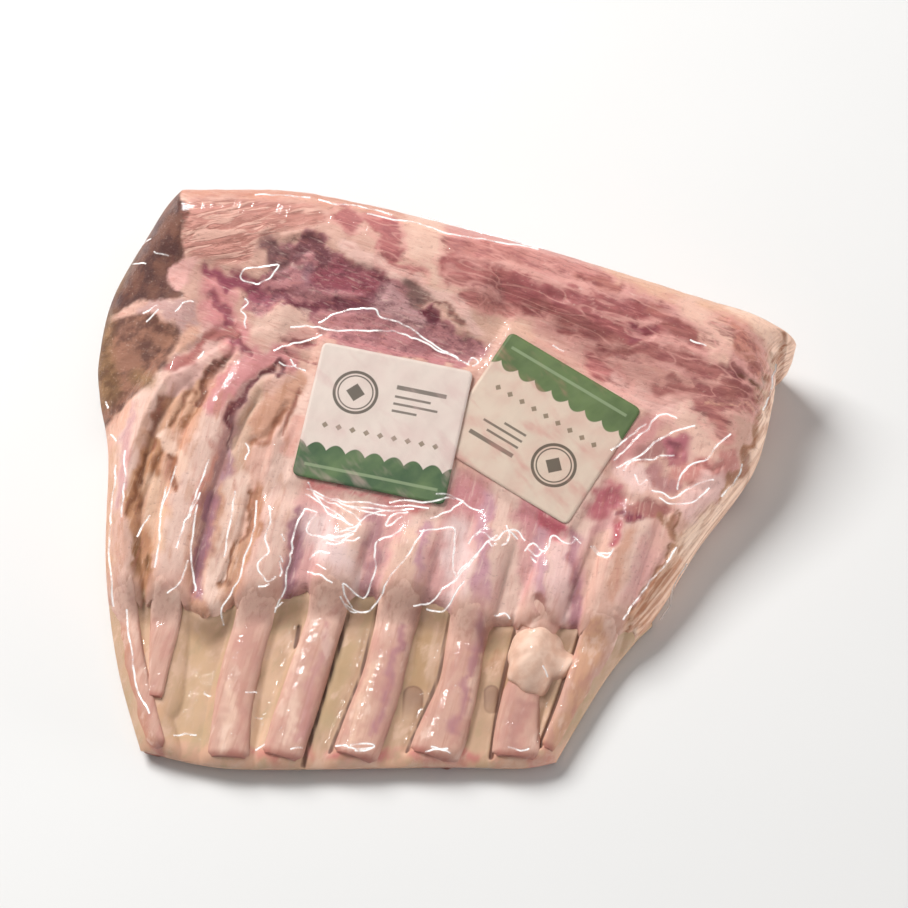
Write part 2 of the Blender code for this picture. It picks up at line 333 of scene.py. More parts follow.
# %% Make the film
FILM_COLUMNS, FILM_ROWS = 250, 214
a_grid, b_grid = np.meshgrid(stations(FILM_COLUMNS), stations(FILM_ROWS), indexing="ij")
film_plan = plan(a_grid, b_grid)
film_x, film_y = film_plan[..., 0], film_plan[..., 1]
film_z = pack_height(a_grid, b_grid)
from_labels = np.minimum.reduce([outside_label(film_x, film_y, label_name) for label_name in LABELS])
film_z = film_z + FILM_OVER_LABELS * (1.0 - ease(from_labels / 3.5))
inner = ease(np.minimum.reduce([a_grid, 1.0 - a_grid, b_grid, 1.0 - b_grid]) / 0.03)
film_z = film_z + inner * (0.18 * lumps(film_x, film_y, 9.0, 3) + 0.10 * lumps(film_x, film_y, 3.5, 4))
film_top = np.dstack([film_plan, film_z])
film = closed_loft("film", film_top, underside(a_grid, b_grid, rim_height(b_grid), 0.0))
film_tree = BVHTree.FromPolygons([v.co for v in film.data.vertices], [tuple(p.vertices) for p in film.data.polygons])


def film_over(x, y):
    """Height of the film above a place."""
    hit = film_tree.ray_cast(Vector((x * MM, y * MM, 0.2)), Vector((0.0, 0.0, -1.0)))[0]
    return hit.z / MM if hit else 0.0


print("film stands", round(film_z.max(), 1), "mm high")

# %% [markdown]
# ## Shader maths in Python
# A finish with many colours soon needs dozens of Math nodes. Wrapping a socket in a small class lets
# the nodes be written as plain expressions, such as `1 - mask * 0.5`, and one method adds every other node.

# %% Wires and finishes


class Wire:
    """A number in a shader tree, which Python's operators can work on."""

    def __init__(self, finish, socket):
        self.finish = finish
        self.socket = socket

    def maths(self, operation, first, second):
        return Wire(self.finish, self.finish.node("ShaderNodeMath", {"operation": operation}, {0: first, 1: second}).outputs[0])

    def __add__(self, other):
        return self.maths("ADD", self, other)

    def __radd__(self, other):
        return self.maths("ADD", other, self)

    def __sub__(self, other):
        return self.maths("SUBTRACT", self, other)

    def __rsub__(self, other):
        return self.maths("SUBTRACT", other, self)

    def __mul__(self, other):
        return self.maths("MULTIPLY", self, other)

    def __rmul__(self, other):
        return self.maths("MULTIPLY", other, self)

    def __abs__(self):
        return self.maths("ABSOLUTE", self, 0.0)

    def lesser(self, other):
        return self.maths("MINIMUM", self, other)

    def greater(self, other):
        return self.maths("MAXIMUM", self, other)

    def step(self, low, high):
        """Soft step between two values."""
        settings = {"interpolation_type": "SMOOTHSTEP"}
        return Wire(self.finish, self.finish.node("ShaderNodeMapRange", settings, {0: self, 1: low, 2: high}).outputs[0])


class Finish:
    """A material under construction."""

    def __init__(self, name):
        self.material = bpy.data.materials.new(name)
        self.material.use_nodes = True
        self.tree = self.material.node_tree
        self.tree.nodes.clear()
        self.output = self.tree.nodes.new("ShaderNodeOutputMaterial")
        self.places = None

    def node(self, kind, settings=None, inputs=None):
        node = self.tree.nodes.new(kind)
        for key, value in (settings or {}).items():
            setattr(node, key, value)
        for key, value in (inputs or {}).items():
            if isinstance(value, Wire):
                value = value.socket
            if isinstance(value, bpy.types.NodeSocket):
                self.tree.links.new(value, node.inputs[key])
            else:
                node.inputs[key].default_value = value
        return node

    def wrap(self, value, length):
        node = self.node("ShaderNodeMath", {"operation": "WRAP"}, {0: value, 1: length / 2, 2: -length / 2})
        return Wire(self, node.outputs[0])

    def place(self):
        if self.places is None:
            self.places = self.node("ShaderNodeTexCoord").outputs["Object"]
        return self.places

    def spot(self, size, turn, shift):
        """Object coordinates counted in grains of a length and width in millimetres, lying in a direction."""
        length, width = size
        return self.node("ShaderNodeMapping", {"vector_type": "TEXTURE"}, {
            "Vector": self.place(), "Location": (shift, shift, 0.0), "Rotation": (0.0, 0.0, math.radians(turn)),
            "Scale": (length * MM, width * MM, width * MM)}).outputs[0]

    def noise(self, size, turn=0.0, detail=3.0, roughness=0.55, distortion=0.0, shift=0.0):
        """Noise from 0 to 1 with grains of the given size and direction."""
        node = self.node("ShaderNodeTexNoise", {}, {
            "Vector": self.spot(size, turn, shift), "Scale": 1.0, "Detail": detail, "Roughness": roughness,
            "Distortion": distortion})
        return Wire(self, node.outputs[0])

    def attribute(self, name):
        return Wire(self, self.node("ShaderNodeAttribute", {"attribute_name": name}).outputs["Fac"])

    def mixed(self, first, second, share):
        """Number between two numbers."""
        return first + (second - first) * share

    def blend(self, first, second, share):
        """Colour between two colours."""
        node = self.node("ShaderNodeMix", {"data_type": "RGBA"}, {0: share, 6: first, 7: second})
        return node.outputs[2]

    def finish(self, shader):
        self.tree.links.new(shader, self.output.inputs["Surface"])
        return self.material

# %% [markdown]
# ## Painting on the points of a mesh
# Muscle, fat and membrane meet in soft, ragged patches. A few pale strokes over the membrane are painted
# reflection of the film's sheen, and the right flank is painted paler than its fat as painted light. Each patch
# is a brush stroke in the plan: a tone, a width, a blur and the points of its path. The strokes are laid over
# one another in order, on points that have been nudged by noise first, so that a stroke with three points gets
# an uneven, natural edge. Muscles with crisp fibres are stored as depths inside an outline instead, and the
# shader cuts them.

# %% Tones, strokes and zones


def tone(red, green, blue):
    """Colour from its values as seen on a screen, 0 to 255."""
    return tuple(((part / 255 + 0.055) / 1.055) ** 2.4 for part in (red, green, blue)) + (1.0,)


PATCHES = [
    # tone, width, blur, then x and y of each point of the stroke
    ((204, 142, 120), 16, 8, -96, 104, -70, 104, -40, 101, -10, 95),
    ((212, 150, 144), 34, 14, 8, 74, 40, 62, 70, 48, 95, 34),
    ((230, 182, 156), 14, 8, 60, 70, 84, 63, 104, 56, 122, 48),
    ((230, 188, 170), 15, 6, -8, 94, -8, 72, 0, 60),
    ((228, 186, 166), 5, 3, -20, 76, -12, 67, 0, 56, 10, 47),
    ((224, 180, 160), 9, 5, 4, 53, 16, 51, 26, 47),
    ((218, 164, 160), 46, 16, -44, -34, 50, -34),
    ((200, 134, 138), 12, 8, 2, -12, 28, -20, 46, -22),
    ((212, 162, 138), 50, 16, -98, 10, -98, -44),
]
RIB_TONE, RIB_WIDTH = (226, 190, 176), 11
MUSCLES = [
    ((182, 110, 108), 8, 2, -38, 88, -34, 85), ((186, 112, 110), 9, 2, -27, 86, -22, 82, -20, 75),
    ((196, 128, 122), 4, 2, -24, 70, -14, 67, -9, 65), ((198, 132, 124), 9, 3, 2, 76, 16, 75, 30, 72),
    ((178, 106, 102), 7, 2.6, 0, 68, 10, 67, 22, 64.5, 31, 61), ((166, 100, 96), 3.5, 2.6, 0, 63, 12, 62, 22, 60.5, 30, 58.5),
    ((200, 132, 124), 5, 2, 6, 57, 14, 55.5, 23, 55), ((208, 144, 136), 10, 3, 33, 71, 42, 68, 54, 65),
    ((184, 118, 108), 4, 2, 46, 65, 54, 63, 61, 60.5), ((174, 100, 100), 8.5, 2.6, 22, 61, 32, 58.5, 42, 55, 52, 49.5),
    ((166, 98, 94), 4, 2.6, 28, 54.5, 38, 52.5, 46, 49.5), ((174, 108, 102), 6, 2.6, 41, 48.5, 48, 46.5, 58, 43.5, 66, 41),
    ((172, 100, 98), 8, 2.6, 53, 55, 60, 53, 69, 51), ((152, 82, 82), 5, 2, 64, 52, 69, 50.5),
    ((172, 96, 96), 6.5, 2.6, 57, 47, 66, 44.5, 73, 42), ((190, 126, 118), 3.5, 2.6, 54, 39, 64, 37, 72, 34.5),
    ((200, 126, 122), 7, 4, 52, 36, 56, 31, 62, 28), ((176, 108, 100), 6.5, 2.6, 74.5, 52, 78, 49, 82, 45.5),
    ((164, 98, 92), 8, 2.6, 78, 46, 85, 42, 92, 39.5), ((154, 80, 84), 4, 2.6, 91.5, 38.5, 94, 39.5),
    ((178, 112, 106), 6, 2.6, 64, 38, 74, 37, 82, 33.5, 90, 30.5, 98, 27.5), ((180, 114, 108), 5, 2.6, 74, 25.5, 84, 25, 95, 23, 103, 22.5),
    ((172, 108, 100), 4.5, 2.6, 99, 24, 105, 22.5, 109, 22.5), ((142, 84, 82), 6, 1.2, 98, 33, 100, 30.5, 102.5, 28.5),
    ((208, 142, 126), 9, 3, 98, 47, 103, 42, 108, 38, 111, 33), ((184, 122, 106), 2.5, 2.6, 99, 44, 104, 38, 110, 34),
    ((188, 120, 114), 4, 2.6, 87, 19.5, 96, 18, 107, 18), ((196, 128, 120), 6, 3, 93, 14, 98, 10),
]
DETAILS = [
    # Seams of fat between the muscles of the loin
    ((220, 160, 150), 3.5, 2, 20, 71, 28, 65.5, 33, 61.5), ((220, 160, 152), 4, 2, 47, 62, 49, 57), ((150, 76, 84), 4, 2, 67, 44, 71, 42.5), ((154, 82, 84), 3, 2, 36, 58, 41, 56),
    ((220, 158, 150), 1.6, 1, 38, 61.5, 46, 59.5, 50, 54, 57, 49, 66, 46.5, 73, 46.5), ((220, 158, 150), 2.2, 1, 71, 41.5, 78, 39, 86, 35.5, 95, 31.5),
    ((216, 156, 146), 1.3, 1, 31, 51, 40, 50, 46, 47.5), ((214, 154, 144), 1.2, 1, 60, 40.6, 70, 40),
    ((222, 162, 150), 1.8, 1, 69, 33, 76, 29, 84, 27.8, 92, 26.4, 100, 26.5), ((228, 172, 150), 1.1, 1, 92, 20, 100, 19, 108, 18.5),
    ((236, 190, 172), 9, 4, 86, 55, 92, 48, 96, 42, 96, 36), ((228, 178, 168), 9, 4, 58, 26, 68, 23, 74, 19, 82, 15),
    ((236, 192, 180), 5, 2, -36, 76, -28, 71, -20, 66, -12, 61.5, -4, 58.5, 3, 54, 10, 48),
    # The dark muscle of the loin
    ((132, 92, 92), 8, 3, -64, 77, -60, 72), ((120, 70, 76), 6, 3, -55, 76, -48, 77, -44, 73),
    ((206, 168, 160), 2, 1.5, -55, 72, -52, 70), ((178, 130, 138), 4, 3, -50, 67, -46, 65), ((158, 82, 94), 9, 5, -44, 66, -34, 65, -26, 62),
    ((130, 68, 80), 5, 3, -64, 60, -52, 57, -38, 56, -28, 57), ((196, 150, 150), 8, 4, -24, 58, -18, 54, -12, 52),
    ((138, 104, 98), 5, 2.5, -14, 60, -9, 57), ((112, 50, 62), 3, 1.5, -8, 53, -5, 51), ((182, 124, 126), 8, 4, -6, 46, 2, 42, 10, 40),
    ((198, 150, 148), 3, 2, -16, 49, -11, 46), ((150, 104, 96), 1.2, 1, -8, 57.5, 0, 52, 5, 47.5),
    # The end on the left, over the first three ribs
    ((206, 158, 156), 4, 3, -113, 20, -115, 0, -114, -22),
    ((214, 168, 150), 7, 4, -115, -22, -116, -48), ((212, 162, 132), 6, 4, -121, 10, -121, -30, -118, -60),
    ((192, 140, 104), 8, 3, -103, 9, -106, -4, -110, -20),
    ((152, 104, 86), 5, 2, -97, 28, -101, 20, -104, 11),
    ((146, 96, 68), 1.6, 1.2, -104, 10, -106, 2, -109, -10, -112, -22), ((160, 108, 76), 1.4, 1, -101, 3, -105, -8, -108, -18),
    ((224, 184, 158), 7, 3, -104, -9, -103, -20, -101, -32),
    ((192, 140, 106), 7, 3, -107, -26, -106, -36, -107, -46), ((158, 112, 76), 2.4, 1.5, -109, -32, -109, -40, -110, -47),
    ((150, 108, 74), 2.2, 1.5, -104, -36, -105, -45), ((184, 152, 116), 7, 3, -107, -51, -107, -58),
    ((210, 162, 134), 9, 3, -99, 12, -94, 20, -88, 29), ((162, 112, 84), 1.2, 1, -98, 12, -94, 20, -91, 27),
    ((170, 120, 90), 1.2, 1, -94, 10, -91, 17, -88, 22), ((130, 82, 62), 4, 1.5, -85, 31, -87, 25, -88.5, 21),
    ((118, 74, 64), 2.6, 1.5, -76, 41, -80, 36, -84, 31.5), ((232, 194, 174), 5, 2, -101, 9, -97, 3, -94, -4),
    ((150, 98, 74), 3, 1.5, -98, 0, -97, -6, -96, -11), ((228, 188, 170), 7, 3, -89, 38, -94, 31, -99, 25),
    ((204, 136, 136), 9, 4, -58, 37, -68, 37, -78, 28, -82, 18),
    ((204, 142, 126), 2.5, 2, -76, 22, -81, 6, -85, -8, -89, -19),
    ((188, 142, 136), 8, 3, -71, 26, -76, 14, -79, 3), ((132, 90, 90), 1.4, 1, -70, 27, -75, 16, -78.5, 4),
    ((150, 108, 108), 1.2, 1, -67, 24, -72, 14, -76, 4), ((208, 170, 148), 5, 3, -67, 25, -71, 12, -74, -2),
    ((176, 132, 138), 4, 2, -78, 2, -79, -8), ((112, 58, 62), 2.6, 1.5, -59, 34, -65, 31.5, -70, 28, -75, 20, -78, 12),
    ((174, 128, 124), 3.5, 2, -80, 2, -82, -8, -85, -20), ((160, 112, 122), 4, 3, -84, -14, -85.5, -26, -86.5, -38, -87.5, -47),
    ((232, 198, 182), 7, 3, -74, -8, -77, -22, -80, -38, -82, -50),
    ((208, 156, 132), 9, 3, -54, 28, -60, 20, -65, 13), ((166, 110, 84), 2.6, 1.5, -69, 7, -64, 9, -60, 14, -57, 20),
    ((172, 116, 100), 1.6, 1.2, -53, 24, -56, 16, -59, 9), ((216, 164, 150), 5, 3, -52, 14, -57, 4),
    ((184, 130, 102), 5, 1.5, -66.5, -10, -68, -18, -69, -26), ((200, 152, 124), 5.5, 2, -71, -28, -73.5, -36, -77, -46),
    ((148, 98, 72), 1.3, 1, -69.5, -10, -71, -18, -72, -26, -75.5, -34, -79, -45),
    ((198, 158, 152), 8, 3, -108, 58, -100, 56, -94, 54, -93, 46),
    ((226, 172, 164), 9, 3, -99, 66, -95, 72),
    ((230, 188, 168), 4, 2, -95, 92, -93, 82, -94, 76),
    ((214, 142, 142), 12, 6, -84, 64, -82, 52, -76, 46),
    ((152, 76, 92), 6, 3, -86, 68, -80, 66, -72, 63, -66, 60),
    ((158, 86, 98), 3, 2, -85, 59, -78, 52, -76, 43), ((150, 84, 92), 1.3, 1, -78, 48, -74, 42, -71, 38),
    ((180, 112, 106), 6, 3, -78, 48, -88, 41, -99, 33), ((150, 90, 86), 1.3, 1, -76, 46, -84, 41, -92, 36),
    ((222, 172, 150), 6, 3, -91, 48, -103, 38, -113, 26, -121, 10),
    ((222, 178, 168), 7, 3, -84, 39, -92, 32, -98, 25),
    ((230, 190, 174), 10, 3, -64, 49, -54, 51),
    ((214, 162, 152), 6, 4, -56, 44, -46, 47), ((160, 100, 100), 1.4, 1, -59, 43, -52, 42, -47, 43), ((150, 94, 90), 1.3, 1, -60, 39, -54, 38, -48, 36),
    # The membrane between the ribs
    ((172, 122, 132), 5, 2.5, -52, -20, -53, -34, -55, -48),
    ((186, 136, 140), 5, 3, -27, -20, -25, -34, -28, -46),
    ((226, 190, 176), 9, 4, -33, -24, -36, -48),
    # painted reflection: a pale bluish-white stroke for the film's sheen over the membrane
    ((236, 206, 202), 11, 6, -46, -24, -40, -32, -36, -42),
    ((228, 190, 172), 9, 4, -12, -28, -18, -46, -21, -54),
    ((196, 146, 156), 3.5, 2.5, -8, -24, -11, -44, -13, -54),
    ((198, 148, 158), 5, 3, 14, -14, 12, -34, 11, -56),
    # painted reflection: a pale bluish-white stroke for the film's sheen over the membrane
    ((234, 202, 198), 9, 5, 3, -26, 3, -48),
    ((228, 192, 178), 8, 4, 22, -26, 21, -54),
    ((200, 152, 160), 4, 3, 33, -24, 32, -54),
    ((132, 68, 62), 1.4, 1.2, -31, -50, -27, -54, -25, -58), ((132, 68, 62), 1.6, 1.2, -6, -52, -2, -55, 0, -60),
    ((150, 84, 80), 1.8, 1.4, 15, -61, 20, -59, 26, -60, 33, -57, 38, -60, 44, -60), ((146, 92, 84), 1.4, 1.2, -54, -47, -49, -50),
    ((150, 88, 84), 3.5, 2, 31, -52, 34, -57), ((170, 112, 104), 1.4, 1.2, 58, -55, 63, -57),
    # painted reflection: a pale bluish-white stroke for the film's sheen over the membrane
    ((236, 196, 190), 8, 4, 40, -30, 39, -54),
    ((186, 132, 140), 4, 3, 45, -26, 43, -58),
    ((222, 178, 162), 8, 4, 54, -30, 50, -56),
    ((208, 158, 138), 5, 4, 64, -26, 58, -48),
    ((206, 122, 122), 2, 3, -49, -8, -30, -12, -8, -17),
    # The shoulder end on the right
    ((206, 146, 142), 8, 4, 61, 0, 67, 8, 72, 12), ((172, 120, 116), 7, 3, 70, 3, 78, 4),
    ((180, 106, 116), 7.5, 2, 80, 4, 87, 5), ((150, 84, 94), 2.5, 1.5, 79, 5, 82, 3),
    ((240, 202, 194), 9, 4, 64, -4, 69, -9), ((184, 130, 128), 6.5, 3, 73, -5, 79, -8),
    ((206, 140, 132), 10, 4, 84, -3, 92, -6, 99, 0), ((178, 108, 104), 1.4, 1, 85, -9, 91, -11, 95, -8),
    ((178, 108, 104), 1.4, 1, 88, -2, 93, -4, 97, -1), ((232, 190, 174), 8, 4, 84, 15, 90, 9, 90, 3),
    # painted light: the pale stroke from x 104 to 117 on this line lightens the right end, which turns away from the
    # window
    ((224, 180, 166), 5, 3, 58, -9, 66, -13, 76, -14), ((248, 208, 186), 7, 4, 104, 54, 112, 49, 117, 45), ((170, 110, 104), 6, 3, 58, -14, 66, -17, 76, -18),
    ((130, 58, 72), 3.5, 2, 61, -20, 66, -20), ((178, 88, 96), 3, 2.5, 59, -23, 58, -31),
    ((184, 104, 112), 8, 4, 52, -16, 58, -12), ((190, 98, 110), 6, 4, 34, -20, 39, -26),
    ((168, 120, 96), 3.5, 2, 75, -21, 79, -26, 82, -31), ((150, 104, 80), 1.6, 1.2, 80, -20, 81, -27, 83, -33),
    ((164, 112, 86), 2, 1.4, 89, -21, 86, -27, 84, -31), ((236, 194, 186), 8, 4, 84, -16, 90, -12, 95, -8),
    # painted light in part: the flank is filled with a tone paler than its fat, to make up for the light that this
    # side, turned away from the window, doesn't get; the brown lines over it are its own colour
    ((246, 208, 184), 0, 2, 128, 48, 118, 46, 113, 34, 110, 22, 109, 8, 104, -2, 96, -12, 87, -19, 79, -31, 70, -45, 61, -59,
     55, -70, 70, -70, 96, -30, 116, 0, 124, 30),
    ((190, 138, 108), 4.5, 2, 79, -33, 73, -44, 65, -55, 60, -61), ((150, 102, 78), 1.3, 1, 78, -31, 71, -42, 64, -53),
    ((220, 160, 126), 3, 2, 82, -36, 75, -48, 66, -60), ((150, 100, 72), 2.8, 1.5, 120, 46, 116.5, 39, 113.5, 31, 111, 24),
    ((122, 76, 58), 1.4, 1, 103, 28, 108, 26.5, 111.5, 27.5, 113, 31), ((172, 120, 90), 1.8, 1.4, 110, 18, 108, 8, 104, -1),
    ((160, 110, 84), 3, 1.5, 101, -6, 104, -2, 107, 3), ((180, 128, 98), 1.4, 1.2, 95, -13, 101, -7), ((178, 124, 94), 1.5, 1.2, 118, 42, 116, 32, 113, 20),
]
ZONES = {
    "wrinkled_fat": [(0, -97, 92, -86, 94, -68, 94, -48, 91, -44, 84, -58, 81, -68, 78, -72, 70, -84, 71, -95, 74, -96, 84)],
    "dark_muscle": [(0, -66, 79, -60, 78, -54, 80, -46, 80, -41, 74, -34, 70, -26, 68, -20, 64, -14, 60, -8, 56, -2, 50,
                     5, 46, 12, 44, 12, 38, 0, 34, -20, 38, -44, 45, -48, 50, -53, 53, -60, 56, -65, 52, -71, 54, -74, 60,
                     -68, 66, -64, 71)],
    "red_muscle": [patch[1:2] + patch[3:] for patch in MUSCLES],
    "cut_brown": [(0, -130, 60, -119, 58, -112, 57, -107, 56, -103, 52, -98, 49, -96, 45, -99, 38, -103, 32, -108, 27,
                   -114, 24, -118, 22, -127, 20, -132, 40)],
    "cut_dark": [(0, -108, 109, -98, 107, -97, 96, -94, 90, -96, 80, -95, 73, -101, 70, -100, 64, -95, 60, -99, 59,
                  -106, 60, -112, 62, -119, 61, -128, 62, -124, 76, -115, 92)],
    "cut_olive": [(9, -110, 104, -116, 90, -123, 74), (9, -126, 60, -126, 46, -122, 30), (5, -112, 34, -106, 28)],
    "flank": [(0, 128, 48, 118, 46, 113, 34, 110, 22, 109, 8, 104, -2, 96, -12, 87, -19, 79, -31, 70, -45, 61, -59,
               55, -70, 70, -70, 96, -30, 116, 0, 124, 30)],
}


def stroke_depth(x, y, width, *places):
    """How deep points lie inside a stroke, or inside the closed outline if the width is 0."""
    line = np.array(places, float).reshape(-1, 2)
    if width:
        return width / 2 - from_line(x, y, line)[0]
    line = along([*line, line[0]], np.linspace(0.0, 1.0, len(line) * 3 + 1))
    inside = np.zeros(x.shape, bool)
    for (x0, y0), (x1, y1) in zip(line, line[1:]):
        if y0 != y1:
            inside ^= ((y0 > y) != (y1 > y)) & (x < x0 + (y - y0) * (x1 - x0) / (y1 - y0))
    distance, _ = from_line(x, y, line)
    return np.where(inside, distance, -distance)


def zone_depth(x, y, strokes):
    return np.max([stroke_depth(x, y, *stroke) for stroke in strokes], axis=0)


def places_of(piece):
    """The plan coordinates of a piece's points, in millimetres."""
    spots = np.empty(len(piece.data.vertices) * 3)
    piece.data.vertices.foreach_get("co", spots)
    return spots.reshape(-1, 3).T[:2] / MM


def store(piece, name, values):
    layer = piece.data.attributes.new(name, "FLOAT", "POINT")
    layer.data.foreach_set("value", np.asarray(values, np.float32))


def paint(piece, ground, patches):
    """Lay the patches over a ground tone and store the result as the piece's tint."""
    x, y = places_of(piece)
    nudged_x = x + 1.7 * lumps(x, y, 5.0, 71) + 1.0 * lumps(x, y, 1.9, 72)
    nudged_y = y + 2.4 * lumps(x, y, 5.0, 73) + 1.2 * lumps(x, y, 1.9, 74)
    tint = np.tile(np.array(tone(*ground)), (len(x), 1))
    for colour, width, blur, *places in patches:
        share = ease(stroke_depth(nudged_x, nudged_y, width, *places) / blur + 0.5)
        tint = mix(tint, np.array(tone(*colour)), share[:, None])
    layer = piece.data.attributes.new("tint", "FLOAT_COLOR", "POINT")
    layer.data.foreach_set("color", tint.astype(np.float32).ravel())


# %% [markdown]
# ## The flesh
# Loin muscle, fat and the membrane over the covered ribs are one mass in a real rack, so they are one
# mesh. It stops at the scraped edge, where it rounds down to the bare bones. Its relief is cut into the
# top only, so that it never breaks through the film.

# %% Make the flesh
SKIN_GAP = 0.6
FLESH_COLUMNS, FLESH_ROWS = 330, 226


def edge_row(a):
    """Row of the plan at which the flesh starts, found by halving."""
    low, high = np.zeros(a.shape), np.ones(a.shape)
    for _ in range(24):
        middle = (low + high) / 2
        spot = plan(a, middle)
        ragged = 1.7 * lumps(spot[..., 0], spot[..., 0], 4.5, 8) + 0.8 * lumps(spot[..., 0], spot[..., 0], 1.7, 9)
        before = spot[..., 1] < flesh_edge(spot[..., 0]) + ragged
        low, high = np.where(before, middle, low), np.where(before, high, middle)
    return low


def flesh_relief(x, y):
    """How far the surface lies below its smoothest level: fibres, creases and shallow hollows."""
    fibre_u, fibre_v = turned(x, y, -14.0)
    depth = 0.25 + 0.25 * lumps(x, y, 5.0, 11) + 0.12 * lumps(x, y, 2.2, 12)
    wrinkles = ease((zone_depth(x, y, ZONES["wrinkled_fat"]) + 2.0) / 4.0)
    crease_u, crease_v = turned(x + 2.0 * lumps(x, y, 9.0, 13), y + 1.6 * lumps(x, y, 8.0, 14), 8.0)
    depth = depth + wrinkles * 0.7 * np.abs(lumps(crease_u * 0.22, crease_v, 1.8, 15))
    red = ease(zone_depth(x, y, ZONES["red_muscle"]) / 3.0 + 0.5)
    depth = depth + red * (0.25 + 0.35 * np.abs(lumps(fibre_u * 0.2, fibre_v, 1.5, 16)))
    depth = depth + 0.8 * ease(zone_depth(x, y, ZONES["dark_muscle"]) / 3.0 + 0.3)
    hollows = [patch[1:2] + patch[3:] for patch in DETAILS if sum(patch[0]) < 400]
    depth = depth + 0.8 * ease(zone_depth(x, y, hollows) / 2.5 + 0.5)
    return np.maximum(depth, 0.0)


a_flesh, share = np.meshgrid(stations(FLESH_COLUMNS), stations(FLESH_ROWS), indexing="ij")
start_row = edge_row(a_flesh)
b_flesh = mix(start_row, 1.0, share)
inset = 0.992
a_in, b_in = 0.5 + (a_flesh - 0.5) * inset, mix(start_row, 0.5 + 0.5 * inset, share)
flesh_plan = plan(a_in, b_in)
flesh_x, flesh_y = flesh_plan[..., 0], flesh_plan[..., 1]
from_edge = flesh_y - plan(a_in, start_row)[..., 1]
side_fade = ease(np.minimum(a_flesh, 1.0 - a_flesh) / 0.03) * ease((1.0 - b_flesh) / 0.03)
near_labels = 1.0 - ease(np.minimum.reduce([outside_label(flesh_x, flesh_y, label_name) for label_name in LABELS]) / 3.5)
flesh_z = pack_height(a_in, b_in) - bridging(flesh_x, flesh_y) - SKIN_GAP + 0.8 * near_labels
flesh_z = flesh_z - flesh_relief(flesh_x, flesh_y) * side_fade * (1.0 - near_labels)
on_bones = rib_relief(flesh_x, flesh_y, 1.0)
at_side = 1.0 - ease(np.minimum(a_in, 1.0 - a_in) / 0.05)
edge_height = mix(3.0, rim_height(b_in) - SKIN_GAP, at_side)  # at the sides no lower than the widest line
edge_share = turn_down(np.maximum(from_edge, 0.0), mix(4.5, 0.6, ease(on_bones / 0.6)), 1.0)
flesh_z = mix(edge_height, np.maximum(flesh_z, edge_height), edge_share)
flesh_z = flesh_z - 0.8 * ease(on_bones / 2.0) * (1.0 - ease(from_edge / 16.0))
flesh_rim = np.minimum(flesh_z, rim_height(b_in) - SKIN_GAP)
flesh_top = np.dstack([flesh_plan, flesh_z])
flesh = closed_loft("flesh", flesh_top, underside(a_in, b_in, flesh_rim, 0.8, shrink=1.0))
for zone, strokes in ZONES.items():
    store(flesh, zone, zone_depth(*places_of(flesh), strokes))
ribs_painted = [(RIB_TONE, RIB_WIDTH, 5, *line[::4].ravel()) for line in RIB_LINES]
paint(flesh, (218, 172, 156), PATCHES + ribs_painted + [((192, 130, 132), 0, 1.2, *ZONES["dark_muscle"][0][1:])] + MUSCLES + DETAILS)
flesh_x, flesh_y = places_of(flesh)
store(flesh, "over_ribs", ease(0.5 - (flesh_y - 0.35 * np.maximum(-50.0 - flesh_x, 0.0) - 10.0) / 24.0))
fade = np.concatenate([(ease(on_bones / 0.5) * (1.0 - ease((from_edge - 3.0) / 12.0))).ravel(), np.zeros(len(flesh_x) - on_bones.size)])
store(flesh, "near_bone", fade)
store(flesh, "left_ribs", ease((-50.0 - flesh_x) / 10.0) * ease((38.0 - flesh_y) / 10.0))

# %% [markdown]
# ## Colours of the flesh
# The painted tint is the ground, and the crisp zones are washed over it one after another. Every wash
# has two tones, mixed by a noise that is stretched along the fibres, and the same kind of noise frays its
# edge. The table gives each zone's inset, edge, grain and tones.

# %% Finish of the flesh
BONE_TONE = (206, 162, 146)
WASHES = [
    # zone, inset, softness, raggedness, grain, first tone, second tone, strength
    ("wrinkled_fat", 0, 3.0, 3.0, "crease", (232, 182, 166), (206, 140, 128), 0.85),
    ("cut_brown", 0, 1.2, 2.5, "patch", (152, 106, 86), (92, 56, 46), 0.95),
    ("cut_dark", 0, 1.0, 3.0, "patch", (70, 38, 36), (112, 72, 58), 0.95),
    ("cut_olive", 0, 3.0, 3.0, "patch", (152, 116, 80), (112, 80, 56), 0.85),
    # painted light in part: the flank's near-white first tone lifts the side that turns away from the window
    ("flank", 0, 2.0, 3.0, "flank", (255, 226, 204), (164, 102, 70), 0.52),
]


def principled(finish, colour, roughness, normal=None, **constants):
    inputs = {"Base Color": colour, "Roughness": roughness, **constants}
    if normal is not None:
        inputs["Normal"] = normal
    return finish.node("ShaderNodeBsdfPrincipled", {}, inputs).outputs[0]


def bump(finish, height, strength, distance):
    return finish.node("ShaderNodeBump", {}, {"Height": height, "Strength": strength, "Distance": distance * MM}).outputs[0]


def bone_colour(finish, tint):
    """Streaks and blotches of bare bone over a tint."""
    streak = finish.noise((34, 1.6), 76, detail=4)
    blotch = finish.noise((11, 5), 70, detail=3, shift=0.04)
    colour = finish.blend(tint, tone(184, 130, 114), streak.step(0.48, 0.68) * 0.4)
    colour = finish.blend(colour, tone(194, 138, 128), blotch.step(0.5, 0.66) * 0.45)
    colour = finish.blend(colour, tone(236, 206, 190), blotch.step(0.44, 0.3) * 0.45)
    return streak, blotch, colour


